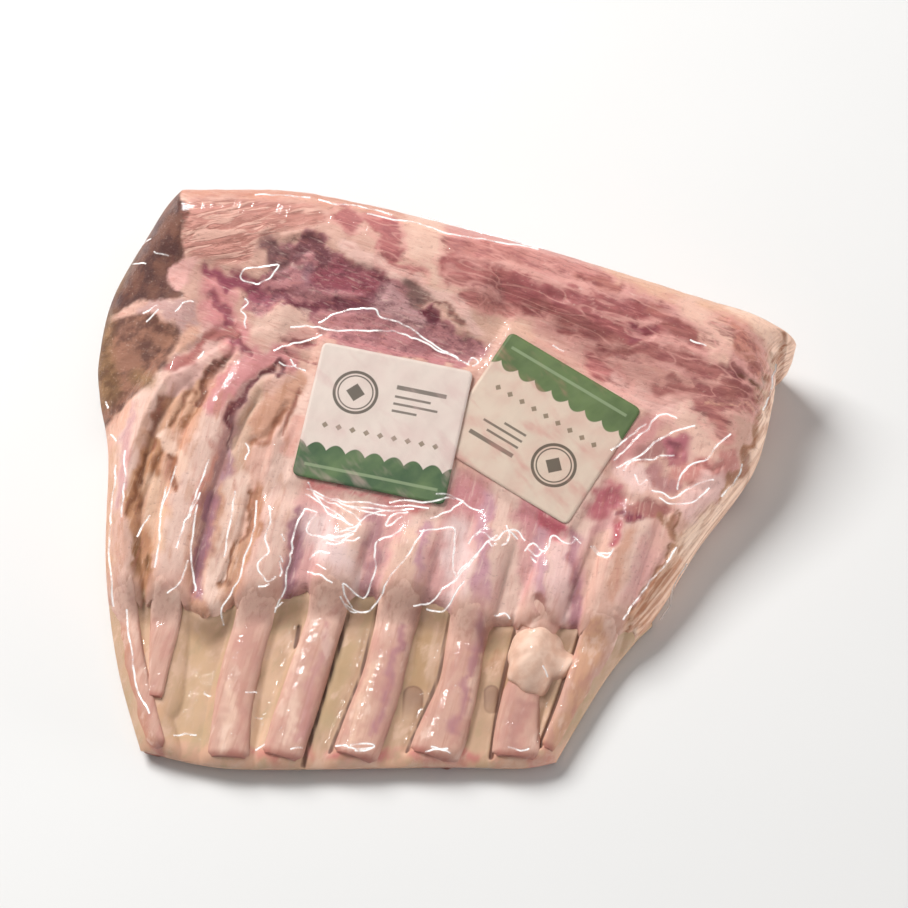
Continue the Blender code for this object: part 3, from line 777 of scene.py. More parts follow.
def flesh_finish():
    finish = Finish("lamb_flesh")
    grains = {
        "fibre": finish.noise((9, 1.3), -22, detail=5, roughness=0.6, distortion=0.5),
        "crease": finish.noise((24, 3.4), 12, detail=5, distortion=0.9),
        "patch": finish.noise((10, 6.5), 20, detail=6, roughness=0.62),
        "flank": finish.noise((28, 1.3), 56, detail=5),
        "rib": finish.noise((30, 1.7), 77, detail=5, roughness=0.6),
    }
    over_ribs = finish.attribute("over_ribs")
    streaks = finish.mixed(grains["fibre"], grains["rib"], over_ribs)
    tint = finish.node("ShaderNodeAttribute", {"attribute_name": "tint"}).outputs["Color"]
    colour = finish.blend(tint, tone(190, 124, 112), streaks.step(0.5, 0.72) * 0.4)
    colour = finish.blend(colour, tone(242, 210, 194), streaks.step(0.46, 0.28) * (1.0 - finish.attribute("red_muscle").step(-1.0, 1.0)) * 0.4)
    band = finish.noise((34, 4.2), 76, detail=4, shift=0.03)
    colour = finish.blend(colour, tone(186, 128, 96), band.step(0.53, 0.66) * finish.attribute("left_ribs") * 0.4)
    for zone, depth, soft, ragged, grain, first, second, strength in WASHES:
        mask = (finish.attribute(zone) + (grains[grain] - 0.5) * (2.0 * ragged)).step(depth - soft, depth + soft)
        wash = finish.blend(tone(*first), tone(*second), grains[grain].step(0.38, 0.62))
        colour = finish.blend(colour, wash, mask * strength)

    # Muscle has fibres inside, a thin skin of fat around it, and specks where it was cut across
    bundle = finish.noise((12, 5), -22, detail=6, roughness=0.62, distortion=0.4)
    depth = finish.attribute("red_muscle") + (grains["fibre"] - 0.5) * 2.0 + (bundle - 0.5) * 7.0
    core = depth.step(-0.7, 1.3)
    colour = finish.blend(colour, tone(136, 64, 70), bundle.step(0.48, 0.62) * core * 0.45)
    colour = finish.blend(colour, tone(118, 56, 58), grains["fibre"].step(0.5, 0.68) * core * 0.4)
    colour = finish.blend(colour, tone(216, 142, 136), grains["fibre"].step(0.46, 0.3) * core * 0.5)
    colour = finish.blend(colour, tone(228, 168, 158), (depth.step(-2.2, -0.8) - core).greater(0.0) * 0.4)
    vein = abs(finish.noise((22, 6), -24, detail=1, distortion=0.3, shift=0.05) - 0.5).step(0.04, 0.0)
    colour = finish.blend(colour, tone(226, 166, 156), vein * finish.attribute("red_muscle").step(-4.0, 0.0) * 0.5)
    deep = finish.attribute("dark_muscle").step(-0.5, 1.0)
    speck = finish.noise((3.4, 1.7), -25, detail=6, roughness=0.7)
    colour = finish.blend(colour, tone(104, 54, 66), grains["patch"].step(0.48, 0.6) * deep * 0.45)
    colour = finish.blend(colour, tone(88, 44, 52), speck.step(0.52, 0.64) * deep * 0.5)
    colour = finish.blend(colour, tone(206, 146, 154), speck.step(0.44, 0.32) * deep * 0.5)

    # Wrinkles, which are lines where a noise passes its middle
    wrinkle = abs(grains["crease"] - 0.5).step(0.08, 0.005)
    folded = finish.attribute("wrinkled_fat").step(-1.0, 2.0)
    colour = finish.blend(colour, tone(168, 98, 88), wrinkle * folded * 0.6)

    mottle = finish.noise((1.7, 1.2), 0, detail=4, roughness=0.65)
    colour = finish.blend(colour, tone(242, 212, 196), mottle.step(0.58, 0.76) * 0.3)
    colour = finish.blend(colour, tone(120, 64, 62), mottle.step(0.44, 0.28) * 0.3)
    near_bone = finish.attribute("near_bone")
    colour = finish.blend(colour, bone_colour(finish, tone(*BONE_TONE))[2], near_bone * 0.85)
    height = (mottle * 0.4 + streaks - wrinkle * folded * 0.6) * (1.0 - near_bone * 0.7)
    return finish.finish(principled(finish, colour, 0.42 + mottle * 0.2, bump(finish, height, 0.5, 0.5)))


flesh.data.materials.append(flesh_finish())
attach(flesh, "root")

# %% [markdown]
# ## The bare bones
# Each rib end is a slightly flattened rod that thickens towards its sawn tip, where a little red marrow
# shows. It follows the rib's own curve just under the film and sinks into the flesh at its other end.
# A curve with a bevel would give a plain pipe, so the rings are set one by one and can swell and tilt.

# %% Make the bones
BONE_SIDES = 36
BONE_HALF_WIDTHS = [5.4, 5.6, 6.8, 6.9, 7.6, 7.2, 6.6, 6.2]
BONE_TIPS = [0.9, 0.5, 1.1, 1.1, 1.1, 1.25, 1.2, 0.9]  # share of the width at the tip
BONE_DEPTH, BONE_END = 9.0, 23.0
KNOB_MIDDLE, KNOB_HALF = (31.5, -71.0), (11.5, 12.0)
SIDE_SHARES = np.linspace(0.0, 1.0, 200)
BONE_PATCHES = [
    ((222, 182, 166), 22, 12, -120, -46, 70, -54),
    ((194, 138, 116), 5, 4, -114, -60, -110, -82, -103, -100),
    ((228, 190, 170), 4, 3, -74, -80, -76, -104), ((202, 152, 138), 3, 3, -72, -64, -71, -98),
    ((226, 190, 172), 4, 3, -52, -62, -55, -100), ((198, 148, 142), 3.5, 3, -42, -58, -47, -82, -51, -100),
    ((180, 128, 132), 3, 3, -16, -58, -20, -80, -26, -98), ((224, 184, 162), 4, 3, -25, -70, -33, -100),
    ((180, 128, 132), 3, 3, 11, -56, 9, -72, 2, -98), ((226, 186, 168), 3, 3, 15, -62, 7, -90),
    ((186, 136, 126), 5, 4, 26, -86, 22, -102), ((208, 160, 132), 8, 4, 52, -60, 44, -84, 38, -100),
]


def kept_inside(x, y):
    """Move places that lie outside the pack's plan to just inside its rim."""
    left_x, left_y = left(SIDE_SHARES).T
    right_x, right_y = right(SIDE_SHARES).T
    front_x, front_y = front(SIDE_SHARES).T
    y = np.maximum(y, np.interp(x, front_x, front_y) + 1.2)
    return np.clip(x, np.interp(y, left_y, left_x) + 1.3, np.interp(y, right_y, right_x) - 1.3), y


def make_bone(number, line, half_width, tip):
    fine = along(line, np.linspace(0.0, 1.0, 240))
    into_flesh = fine[:, 1] - flesh_edge(fine[:, 0])
    fine = fine[into_flesh < BONE_END]
    length = np.concatenate([[0.0], np.cumsum(np.linalg.norm(np.diff(fine, axis=0), axis=1))])
    ways = np.gradient(fine, axis=0)
    ways /= np.linalg.norm(ways, axis=1)[:, None]
    wide = half_width * mix(tip, 1.0, ease(length / 32.0)) * (1.0 + 0.04 * np.sin(length / 7.0 + number))
    wide = wide * mix(0.8, 1.0, ease(length / 2.0))
    into_flesh = into_flesh[:len(fine)]
    sunk = 0.9 * ease((into_flesh + 6.0) / 20.0) + 4.0 * ease((into_flesh - 12.0) / 10.0)
    sunk = sunk + 4.0 * np.exp(-((fine - KNOB_MIDDLE) ** 2).sum(axis=1) / 11.0 ** 2)
    angles = np.linspace(0.0, 2.0 * math.pi, BONE_SIDES, endpoint=False)
    across, upward = np.cos(angles), np.sin(angles)
    reach = wide[:, None] * across
    x, y = kept_inside(fine[:, :1] + ways[:, 1:] * reach, fine[:, 1:] - ways[:, :1] * reach)
    skin = np.array([film_over(px, py) for px, py in zip(x.ravel(), y.ravel())]).reshape(x.shape) - bridging(x, y)
    rough = 0.1 * lumps(np.broadcast_to(length[:, None], x.shape), 6.0 * across, 3.0, 30 + number)
    top = skin - 0.55 - sunk[:, None] + rough - 1.8 * (1.0 - np.sqrt(1.0 - across ** 8))
    bottom = np.maximum(skin.max(axis=1, keepdims=True) - sunk[:, None] - BONE_DEPTH, 2.0)
    height = np.where(upward >= 0.0, top, mix(top, bottom, ease(-1.4 * upward)))
    rings = np.stack([x, y, height], -1)
    index = np.arange(len(fine) * BONE_SIDES).reshape(len(fine), BONE_SIDES)
    beside = np.roll(index, -1, axis=1)
    faces = np.stack([index[:-1], index[1:], beside[1:], beside[:-1]], -1).reshape(-1, 4).tolist()
    faces += [index[0].tolist(), index[-1][::-1].tolist()]
    bone = add_object(f"bone_{number}", rings.reshape(-1, 3), faces)
    store(bone, "from_tip", np.repeat(length, BONE_SIDES))
    paint(bone, BONE_TONE, BONE_PATCHES)
    return bone


def bone_finish():
    finish = Finish("bare_bone")
    streak, blotch, colour = bone_colour(finish, finish.node("ShaderNodeAttribute", {"attribute_name": "tint"}).outputs["Color"])
    colour = finish.blend(colour, tone(160, 84, 74), (3.0 - finish.attribute("from_tip") + blotch * 2.0).step(1.0, 4.0) * 0.6)
    height = streak * 0.6 + finish.noise((1.5, 0.8), 76)
    return finish.finish(principled(finish, colour, 0.56 + blotch * 0.2, bump(finish, height, 0.3, 0.3)))


bone_material = bone_finish()
for number, (rib, half_width, tip) in enumerate(zip(RIBS, BONE_HALF_WIDTHS, BONE_TIPS), start=1):
    bone = make_bone(number, rib, half_width, tip)
    bone.data.materials.append(bone_material)
    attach(bone, "root")

# %% [markdown]
# ## The pad under the bones
# Butchers lay a soft pad beneath the sharp rib ends. Here it shows between the bones as a dull tan
# sheet with faint lines, and it sinks away beside each bone into thin gaps, which are darkened with
# painted shade. The pad is the same loft as the flesh, cut off where the flesh begins.

# %% Make the pad
PAD_COLUMNS, PAD_ROWS = 240, 84
BLISTERS = [(6.6, -12, -82, -12.5, -91), (4.8, 15, -81, 15, -86.5)]
GAP_SIDES = {4: 1, 5: -1, 6: -1, 7: -1, 8: -1}  # on which side of a bone the pad has come away


def gap_beside(number, side):
    line = RIB_LINES[number - 1][:13]
    ways = np.gradient(line, axis=0)
    ways /= np.linalg.norm(ways, axis=1)[:, None]
    offset = side * (BONE_HALF_WIDTHS[number - 1] * mix(BONE_TIPS[number - 1], 1.0, ease(np.arange(13) / 7.0)) + 0.3)[:, None]
    return (1.7, *(line + offset * np.column_stack([ways[:, 1], -ways[:, 0]])).ravel())


GAPS = [gap_beside(number, side) for number, side in GAP_SIDES.items()] + [(1.8, -52, -56, -53, -64)]
PAD_PATCHES = [
    ((206, 170, 136), 12, 6, -88, -66, -90, -98), ((214, 176, 146), 8, 5, -62, -60, -66, -98),
    ((206, 164, 132), 8, 4, -100, -90, -108, -66), ((190, 158, 122), 7, 4, -36, -62, -42, -90),
    ((184, 148, 112), 6, 4, -8, -60, -10, -78), ((176, 132, 100), 5, 3, 17, -66, 18, -80),
    ((214, 168, 142), 9, 4, -104, -104, -70, -107, -30, -107, 10, -107, 40, -106),
    ((206, 138, 124), 4, 3, -66, -104, -56, -105, -48, -104), ((200, 128, 120), 4, 3, -40, -103, -30, -106, -20, -104),
    ((204, 132, 122), 4, 3, -12, -104, 0, -106, 8, -104), ((206, 140, 124), 4, 3, 16, -104, 26, -106, 34, -104),
    ((190, 120, 106), 3, 2, -102, -99, -98, -104),
]

a_pad, share = np.meshgrid(stations(PAD_COLUMNS), stations(PAD_ROWS), indexing="ij")
a_low = 0.5 + (a_pad - 0.5) * inset
b_low = mix(0.5 - 0.5 * inset, np.minimum(edge_row(a_pad) + 0.05, 0.5), share)
pad_plan = plan(a_low, b_low)
pad_x, pad_y = pad_plan[..., 0], pad_plan[..., 1]
gap_depth = zone_depth(pad_x, pad_y, GAPS)
blister_depth = zone_depth(pad_x, pad_y, BLISTERS)
into_flesh = pad_y - flesh_edge(pad_x)
pad_z = pack_height(a_low, b_low, PAD_RIBS) - SKIN_GAP - 0.5 - 0.25 * (1.0 + lumps(pad_x, pad_y, 7.0, 21))
pad_z = pad_z - 8.0 * ease(into_flesh / 12.0) - 1.2 * ease(gap_depth / 1.2 + 0.4)
pad_z = pad_z - 0.3 * np.exp(-(blister_depth / 0.9) ** 2)
pad_z = pad_z - 2.5 * np.exp(-((pad_x - KNOB_MIDDLE[0]) ** 2 + (pad_y - KNOB_MIDDLE[1]) ** 2) / 9.0 ** 2)
pad_z = np.maximum(pad_z, 1.2)
pad_top = np.dstack([pad_plan, pad_z])
pad_rim = np.minimum(pad_z, rim_height(b_low) - SKIN_GAP)
pad = closed_loft("bone_pad", pad_top, underside(a_low, b_low, pad_rim, 0.8))


pad_places = places_of(pad)
store(pad, "gap", zone_depth(*pad_places, GAPS))
store(pad, "blister", zone_depth(*pad_places, BLISTERS))
store(pad, "blister_top", ease((pad_places[1] + 94.0) / 12.0))
paint(pad, (198, 162, 134), PAD_PATCHES)


def pad_finish():
    finish = Finish("bone_pad")
    streak = finish.noise((34, 5), 78, detail=5)
    cloud = finish.noise((15, 8), 55, detail=4, roughness=0.6, shift=0.02)
    tint = finish.node("ShaderNodeAttribute", {"attribute_name": "tint"}).outputs["Color"]
    colour = finish.blend(tint, tone(220, 186, 164), streak.step(0.5, 0.68) * 0.4)
    colour = finish.blend(colour, tone(182, 158, 124), cloud.step(0.5, 0.66) * 0.5)
    colour = finish.blend(colour, tone(226, 190, 168), cloud.step(0.46, 0.34) * 0.5)
    blister = finish.attribute("blister")
    upper = finish.attribute("blister_top")
    rim = blister.step(-0.6, 0.1) - blister.step(0.1, 0.9)
    colour = finish.blend(colour, tone(146, 110, 90), blister.step(-0.2, 0.8) * upper * 0.75)
    colour = finish.blend(colour, tone(126, 88, 70), rim * upper * 0.7)
    # painted shade: dark brown laid along the gaps beside the bones, where shade falls into the slit
    gap = (finish.attribute("gap") + (streak - 0.5) * 0.7).step(-0.3, 0.4)
    colour = finish.blend(colour, tone(86, 50, 40), gap * 0.85)
    return finish.finish(principled(finish, colour, 0.5 + cloud * 0.15, bump(finish, streak, 0.3, 0.4)))


pad.data.materials.append(pad_finish())
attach(pad, "root")

# %% [markdown]
# ## A knob of fat
# One lump of fat was left on the seventh rib. It is a rounded, lobed dollop between the film and the
# bone. A disc-shaped grid with a lobed outline takes its height from the film, smoothed, and rounds down at its edge,
# which gives such a form.

# %% Make the knob of fat


def make_knob():
    across, deep = np.meshgrid(np.linspace(-1.0, 1.0, 71), np.linspace(-1.0, 1.0, 71), indexing="ij")
    u = across * np.sqrt(1.0 - 0.5 * deep ** 2)
    v = deep * np.sqrt(1.0 - 0.5 * across ** 2)
    radius, angle = np.hypot(u, v), np.arctan2(v, u)
    lobes = 1.0 + 0.07 * np.sin(3.0 * angle + 0.6) + 0.05 * np.sin(5.0 * angle + 2.0) + 0.03 * np.sin(9.0 * angle)
    x = KNOB_MIDDLE[0] + u * lobes * KNOB_HALF[0] + 1.5 * v
    y = KNOB_MIDDLE[1] + v * lobes * KNOB_HALF[1]
    top = np.array([film_over(px, py) for px, py in zip(x.ravel(), y.ravel())]).reshape(x.shape)
    for _ in range(25):  # averaging takes out the facets of the film's mesh
        padded = np.pad(top, 1, mode="edge")
        top = (padded[2:, 1:-1] + padded[:-2, 1:-1] + padded[1:-1, 2:] + padded[1:-1, :-2]) / 4.0
    folds = 0.6 * (radius * np.sin(3.0 * angle + 0.9)) ** 2
    height = top - 0.6 - folds - 3.5 * (1.0 - turn_down(1.0 - np.minimum(radius, 1.0), 0.5, 1.0))
    below = [np.column_stack([border(x), border(y), border(height) - 2.0])]
    return closed_loft("fat_knob", np.dstack([x, y, height]), below)


knob = make_knob()


def fat_finish():
    finish = Finish("fat")
    cloud = finish.noise((5, 3.5), 20, detail=4)
    colour = finish.blend(tone(238, 204, 184), tone(226, 186, 164), cloud.step(0.35, 0.65))
    return finish.finish(principled(finish, colour, 0.4 + cloud * 0.2, bump(finish, cloud, 0.25, 0.4)))


knob.data.materials.append(fat_finish())
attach(knob, "root")

# %% [markdown]
# ## Paper labels
# Two square labels lie on the slope of the flesh. Paper caught under a tight film isn't quite flat, so
# each is a thin closed sheet with a slight wave. Their print is kept to plain shapes: a green band with a
# scalloped edge, a double ring around a small diamond, a thin stripe, a row of dots and short rules. It is drawn in the
# sheet's own UV map.

# %% Make the labels


def make_label(name, centre, turn, lift):
    steps = 48
    u, v = np.meshgrid(np.linspace(-1.0, 1.0, steps), np.linspace(-1.0, 1.0, steps), indexing="ij")
    half = np.array([LABEL_WIDTH, LABEL_HEIGHT]) / 2
    flat_x, flat_y = u * half[0], v * half[1]
    over = np.hypot(np.maximum(np.abs(flat_x) - half[0] + LABEL_CORNER, 0.0),
                    np.maximum(np.abs(flat_y) - half[1] + LABEL_CORNER, 0.0))
    pull = np.where(over > LABEL_CORNER, LABEL_CORNER / np.maximum(over, 1e-6), 1.0)
    corner_x, corner_y = half[0] - LABEL_CORNER, half[1] - LABEL_CORNER
    near = (np.abs(flat_x) > corner_x) & (np.abs(flat_y) > corner_y)
    flat_x = np.where(near, np.sign(flat_x) * (corner_x + (np.abs(flat_x) - corner_x) * pull), flat_x)
    flat_y = np.where(near, np.sign(flat_y) * (corner_y + (np.abs(flat_y) - corner_y) * pull), flat_y)
    x, y = turned(flat_x, flat_y, -turn)
    tilt = math.cos(math.atan(SLOPE))
    x, y = x + centre[0], y * tilt + centre[1]
    z = slope(y) + lift + 0.12 * lumps(x, y, 12.0, 51) + 0.12
    top = np.dstack([x, y, z + 0.18])
    rings = [np.column_stack([border(x), border(y), border(z)])]
    sheet = closed_loft(name + "_sheet", top, rings)
    sheet.data.uv_layers.new(name="print")
    across = np.concatenate([(flat_x / LABEL_WIDTH + 0.5).ravel(), border(flat_x) / LABEL_WIDTH + 0.5])
    up = np.concatenate([(flat_y / LABEL_HEIGHT + 0.5).ravel(), border(flat_y) / LABEL_HEIGHT + 0.5])
    corners = np.empty(len(sheet.data.loops), int)
    sheet.data.loops.foreach_get("vertex_index", corners)
    sheet.data.uv_layers["print"].data.foreach_set("uv", np.column_stack([across[corners], up[corners]]).ravel())
    return sheet


def label_finish(name, band_on_top, band_tone, paper_tone, stain_tone, stain):
    finish = Finish(name)
    spot = finish.node("ShaderNodeSeparateXYZ", {}, {0: finish.node("ShaderNodeUVMap", {"uv_map": "print"}).outputs[0]})
    x = (Wire(finish, spot.outputs[0]) - 0.5) * LABEL_WIDTH
    y = (Wire(finish, spot.outputs[1]) - 0.5) * LABEL_HEIGHT
    if band_on_top:
        x, y = x * -1.0, y * -1.0
    cloud = finish.noise((14, 10), 30, detail=3)
    paper = finish.blend(paper_tone, stain_tone, cloud.step(0.35, 0.8) * 0.35)

    def inked(colour, ink, mask, strength=0.9):
        return finish.blend(colour, ink, mask * strength)

    wave = finish.wrap(x, 7.0)
    band = (wave * wave * -0.2 - 11.8 - y).step(-0.25, 0.25)
    print_wear = cloud.step(0.3, 0.75)
    colour = inked(paper, finish.blend(band_tone, tone(120, 146, 92), print_wear * 0.5), band, 0.95)
    stripe = (0.55 - abs(y + 20.4)).step(-0.15, 0.15) * (24.0 - abs(x)).step(-0.3, 0.3)
    colour = inked(colour, tone(150, 166, 130), stripe, 0.7)
    ring_x, ring_y = x + 12.0, y - 9.0
    spread = finish.node("ShaderNodeMath", {"operation": "SQRT"}, {0: ring_x * ring_x + ring_y * ring_y})
    radius = Wire(finish, spread.outputs[0])
    ring = (0.55 - abs(radius - 7.6)).step(-0.15, 0.15).greater((0.25 - abs(radius - 6.2)).step(-0.12, 0.12))
    disc = (3.4 - abs(ring_x) - abs(ring_y)).step(-0.2, 0.2)
    grey = tone(64, 58, 44)
    colour = inked(colour, grey, ring.greater(disc), 0.85)
    rules = None
    for line_y, start, end, half in ((14.0, 2.0, 20.0, 0.8), (10.5, 2.0, 15.0, 0.45), (7.8, 2.0, 18.0, 0.45), (5.1, 2.0, 11.0, 0.45)):
        rule = (half - abs(y - line_y)).step(-0.12, 0.12) * ((end - start) / 2 - abs(x - (start + end) / 2)).step(-0.2, 0.2)
        rules = rule if rules is None else rules.greater(rule)
    colour = inked(colour, grey, rules, 0.75)
    dots = (1.2 - abs(finish.wrap(x, 5.0)) - abs(y + 5.0)).step(-0.15, 0.15) * (21.0 - abs(x)).step(-0.3, 0.3)
    colour = inked(colour, tone(120, 104, 80), dots, 0.8)
    soak = finish.noise((20, 7), -50, detail=3, shift=0.06).step(0.5, 0.75)
    colour = finish.blend(colour, stain_tone, soak * stain)
    return finish.finish(principled(finish, colour, 0.5, bump(finish, cloud, 0.2, 0.3)))


label_looks = {
    "label_left": (False, tone(40, 82, 46), tone(226, 210, 200), tone(210, 176, 172), 0.5),
    "label_right": (True, tone(72, 98, 52), tone(220, 200, 182), tone(204, 136, 128), 0.6),
}
for label_name, (centre, turn, lift) in LABELS.items():
    sheet = make_label(label_name, centre, turn, lift)
    sheet.data.materials.append(label_finish(label_name + "_print", *label_looks[label_name]))
    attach(sheet, "root")
    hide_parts(label_name)

# %% [markdown]
# ## Creases in the film
# A shrunk film gathers into fine raised creases, and each one carries a painted highlight: a near-white,
# partly opaque finish stands in for the bright line where the light catches it, and a few short, wide ones
# are painted glare on crumpled film. They follow paths, so Geometry Nodes sweep a low rounded profile along
# them: the paths are laid on the film, and the tree gives each crease its taper and a width of its own.

# %% Paths of the creases
CREASE_WIDTH, CREASE_HEIGHT, CREASE_LIFT = 1.1, 0.18, 0.03
CREASES = [
    # width as a share of the usual, then x and y of each point
    (0.6, -33, -104, -29, -103, -25, -103.6, -27, -105, -31, -105.2), (0.4, -38, -103, -34, -104.5), (0.5, -6, -104, 1, -105.5),
    (0.4, 20, -104.5, 24, -105.5, 27, -104.6), (0.5, -66, -104, -62, -103.4), (0.4, -54, -104.5, -50, -104),
    (1, -74, 66, -72, 68.5, -66, 69, -61, 70, -62, 67.5, -65, 64.5, -69, 63, -73, 64, -74, 66),
    (1, -73, 58, -72, 56, -74, 54, -72.5, 52, -73, 50, -72, 48),
    (0.8, -46, 50, -40, 53, -33, 54, -26, 54, -24, 51.5, -18, 49, -12, 46, -6, 42, 0, 38, 5, 36, 8, 34),
    (0.8, -56, 47, -48, 48, -38, 47.5, -30, 47.5, -22, 46.5, -14, 45, -8, 42, -2, 38.5, 4, 36),
    (0.8, 7, 34, 9, 37, 11, 35, 9, 33.5), (0.8, -62, 40, -57, 42, -50, 43, -45, 44.5),
    (0.8, -110, 57, -105, 57.5), (0.8, -109, 53, -105, 56), (0.8, -98, 53, -94, 56, -91, 56),
    (0.6, -47, 94, -40, 92.5, -30, 92, -20, 89), (0.5, -30, 88, -15, 85.5, 0, 81, 15, 78.5, 32, 77),
    (0.5, -10, 94, 5, 91, 20, 87, 35, 83), (0.6, -114, 2, -114, -10, -113.5, -22), (0.8, -121, 15, -118, 10),
    (0.6, -99, -10, -101, -20, -101, -30, -102, -40), (0.5, -87, -14, -92, -25, -95, -34),
    (0.9, -88, -18, -89, -35, -88, -48), (0.7, -90, -37, -93, -45, -98, -49),
    (0.5, -75, -12, -77, -25, -78, -35), (0.8, -67, -15, -69, -28, -72, -38, -75, -47, -79, -54, -78, -58),
    (0.6, -63, -18, -62, -24, -64, -30, -63, -35, -67, -39, -63, -45, -60, -43),
    (0.9, -46, -19, -50, -18, -53, -25, -55, -35, -56, -45, -59, -50, -60, -53),
    (0.8, -50, -9, -46, -14, -42, -20, -36, -23, -33, -24),
    (0.9, -46, -19, -49, -25, -44, -28, -38, -29, -33, -27, -28, -20, -20, -18),
    (1.6, -41, -30, -37, -31, -33, -28), (0.8, -16, -21, -22, -24, -20, -20, -14, -20),
    (1, -15, -24, -20, -28, -25, -30, -25, -38, -27, -45, -29, -48, -36, -46),
    (0.8, -8, -26, -14, -36, -20, -43, -24, -49, -28, -52, -35, -51),
    (0.8, -10, -27, 0, -25, 3, -27, 1, -35, 2, -42), (0.7, 10, -35, 2, -43, -4, -49, -12, -52),
    (0.6, 6, -45, 2, -50, -2, -53, -8, -52), (0.8, 5, -15, 0, -20, -6, -22),
    (1, 7, -31, 11, -28, 16, -31, 20, -27, 24, -26, 27, -29),
    (1, 27, -33, 30, -30, 34, -33, 37, -28, 42, -30, 45, -28), (0.8, 50, -31, 53, -35, 56, -37, 58, -34),
    (0.6, 2, -43, 8, -38, 12, -33, 17, -29), (0.7, 59, -1, 64, 5, 70, 10, 73, 14, 77, 16, 81, 14),
    (0.7, 60, -3, 68, 2, 75, 7, 81, 10, 87, 11), (0.9, 100, 8, 95, 4, 92, 0, 86, -2, 82, -6, 81, -11),
    (0.5, 62, -4, 66, 0, 72, 0, 80, 1), (1, 94, -7, 88, -9, 82, -12, 78, -14, 75, -12, 72, -11),
    (0.6, 92, -10, 86, -15, 78, -16, 74, -14), (0.8, 66, -5, 68, -9, 71, -7),
    (0.9, 79, -31, 76, -36, 70, -45, 66, -50, 61, -58), (0.5, -94, -99, -91, -97, -86, -98),
    (0.5, -34, -105, -26, -104.5), (0.5, -8, -105, 0, -104.5), (0.8, 37, 41, 41, 40),
    (0.8, -60, 35, -57, 33, -54, 34), (0.4, -50, -11, -40, -14, -20, -17, -6, -19), (0.8, 86, 40, 92, 37),
    (1, -49, -36, -46, -33, -41, -35), (0.7, -49, -41, -44, -43, -40, -46), (0.5, -46, -38, -42, -41),
    # painted glare: the short strokes of width 1.3 and more, here and on a few other lines, stand for patches of light
    # on crumpled film
    (2, -42, -31, -39, -32, -36, -31), (2.4, -40, -29.5, -36, -29, -33, -28), (1.8, -38, -27.5, -35, -26.5, -32, -26.5),
    (2, -37, -30.5, -34, -30.5, -31, -29), (1.6, -43, -29, -41, -28, -39, -28.5), (1.8, -35, -26, -32, -24.5, -30, -24),
    (2, -36, -46, -35, -49, -33, -51), (1.4, -37, -50, -34, -52, -31, -52), (1.8, 10, -29, 12, -27, 14, -27.5),
    (2, 14, -31, 16, -33, 17, -32), (2, 28, -32, 31, -34.5, 33, -33), (1.6, 29, -35, 31, -37), (1.8, 51, -31, 54, -35, 57, -36),
    (1.5, 21, -27, 24, -28.5), (1.3, -59, -38, -57, -41, -58, -43), (1.3, 3, -41, 6, -38),
    (0.35, -50, -13, -42, -18, -34, -24), (0.35, -47, -13, -38, -17, -30, -22),
    (0.35, -42, -14, -30, -18, -22, -20), (0.35, -36, -16, -24, -18, -12, -19),
    (0.35, -20, -16, -8, -17, 2, -15), (0.35, -4, -14, 4, -15, 12, -20), (0.3, 58, 2, 64, 8, 70, 12),
    (0.4, 84, -33, 79, -41, 74, -49), (0.35, 118, 40, 116, 30, 113, 20), (0.4, 105, 0, 101, -6, 97, -11),
    (0.35, -118, 0, -119, -25, -117, -50),
    (0.35, -112, -52, -108, -76, -103, -92), (0.4, -96, -4, -98, -12, -101, -18),
    (0.5, -84, -2, -89, -16, -93, -28), (0.5, -104, -20, -107, -24, -109, -28), (0.6, -58, -29, -57, -31),
    (0.6, -59, -36, -57, -38), (0.9, -66, -47, -62, -46), (0.9, -60, -52, -58, -50), (0.6, -84, -82, -82, -84),
    (0.5, -70, -84, -66, -83), (0.5, -66, -92, -63, -91), (0.6, 20, -25, 21, -29, 19, -33),
    (0.7, 44, -27, 46, -30), (0.5, 16, -56, 20, -55, 22, -57), (0.8, 33, -76, 35, -78),
    (1.4, -89, 36, -87, 39), (1.6, -56, 36, -54, 33, -51, 32), (1.2, -123, 28, -122, 25),
    (0.7, -72, 6, -70, 2, -71, -1), (0.5, -112, 86, -108, 84), (0.4, -116, 78, -110, 74),
    (0.4, -106, 78, -101, 74), (0.5, -70, 95, -60, 96, -50, 95),
]


def crease_paths():
    """One curve object with a spline for each crease, laid on the film."""
    curve = bpy.data.curves.new("crease_paths", "CURVE")
    curve.dimensions = "3D"
    curve.twist_mode = "Z_UP"
    for width, *places in CREASES:
        path = np.array(places, float).reshape(-1, 2)
        count = 8 * (len(path) - 1) + 1
        line = along(path, np.linspace(0.0, 1.0, count))
        for size, reach in ((7.0, 0.8), (2.2, 0.4)):
            line = line + reach * np.array([lumps(line[:, 0], line[:, 1], size, seed) for seed in (61, 62)]).T
        spline = curve.splines.new("POLY")
        spline.points.add(count - 1)
        for point, (x, y) in zip(spline.points, line):
            point.co = (x * MM, y * MM, (film_over(x, y) + CREASE_LIFT) * MM, 1.0)
            point.radius = width
    paths = bpy.data.objects.new("film_crease_glints", curve)
    bpy.context.scene.collection.objects.link(paths)
    return paths


# %% Sweep the creases


def link(tree, source, target):
    tree.links.new(source, target)


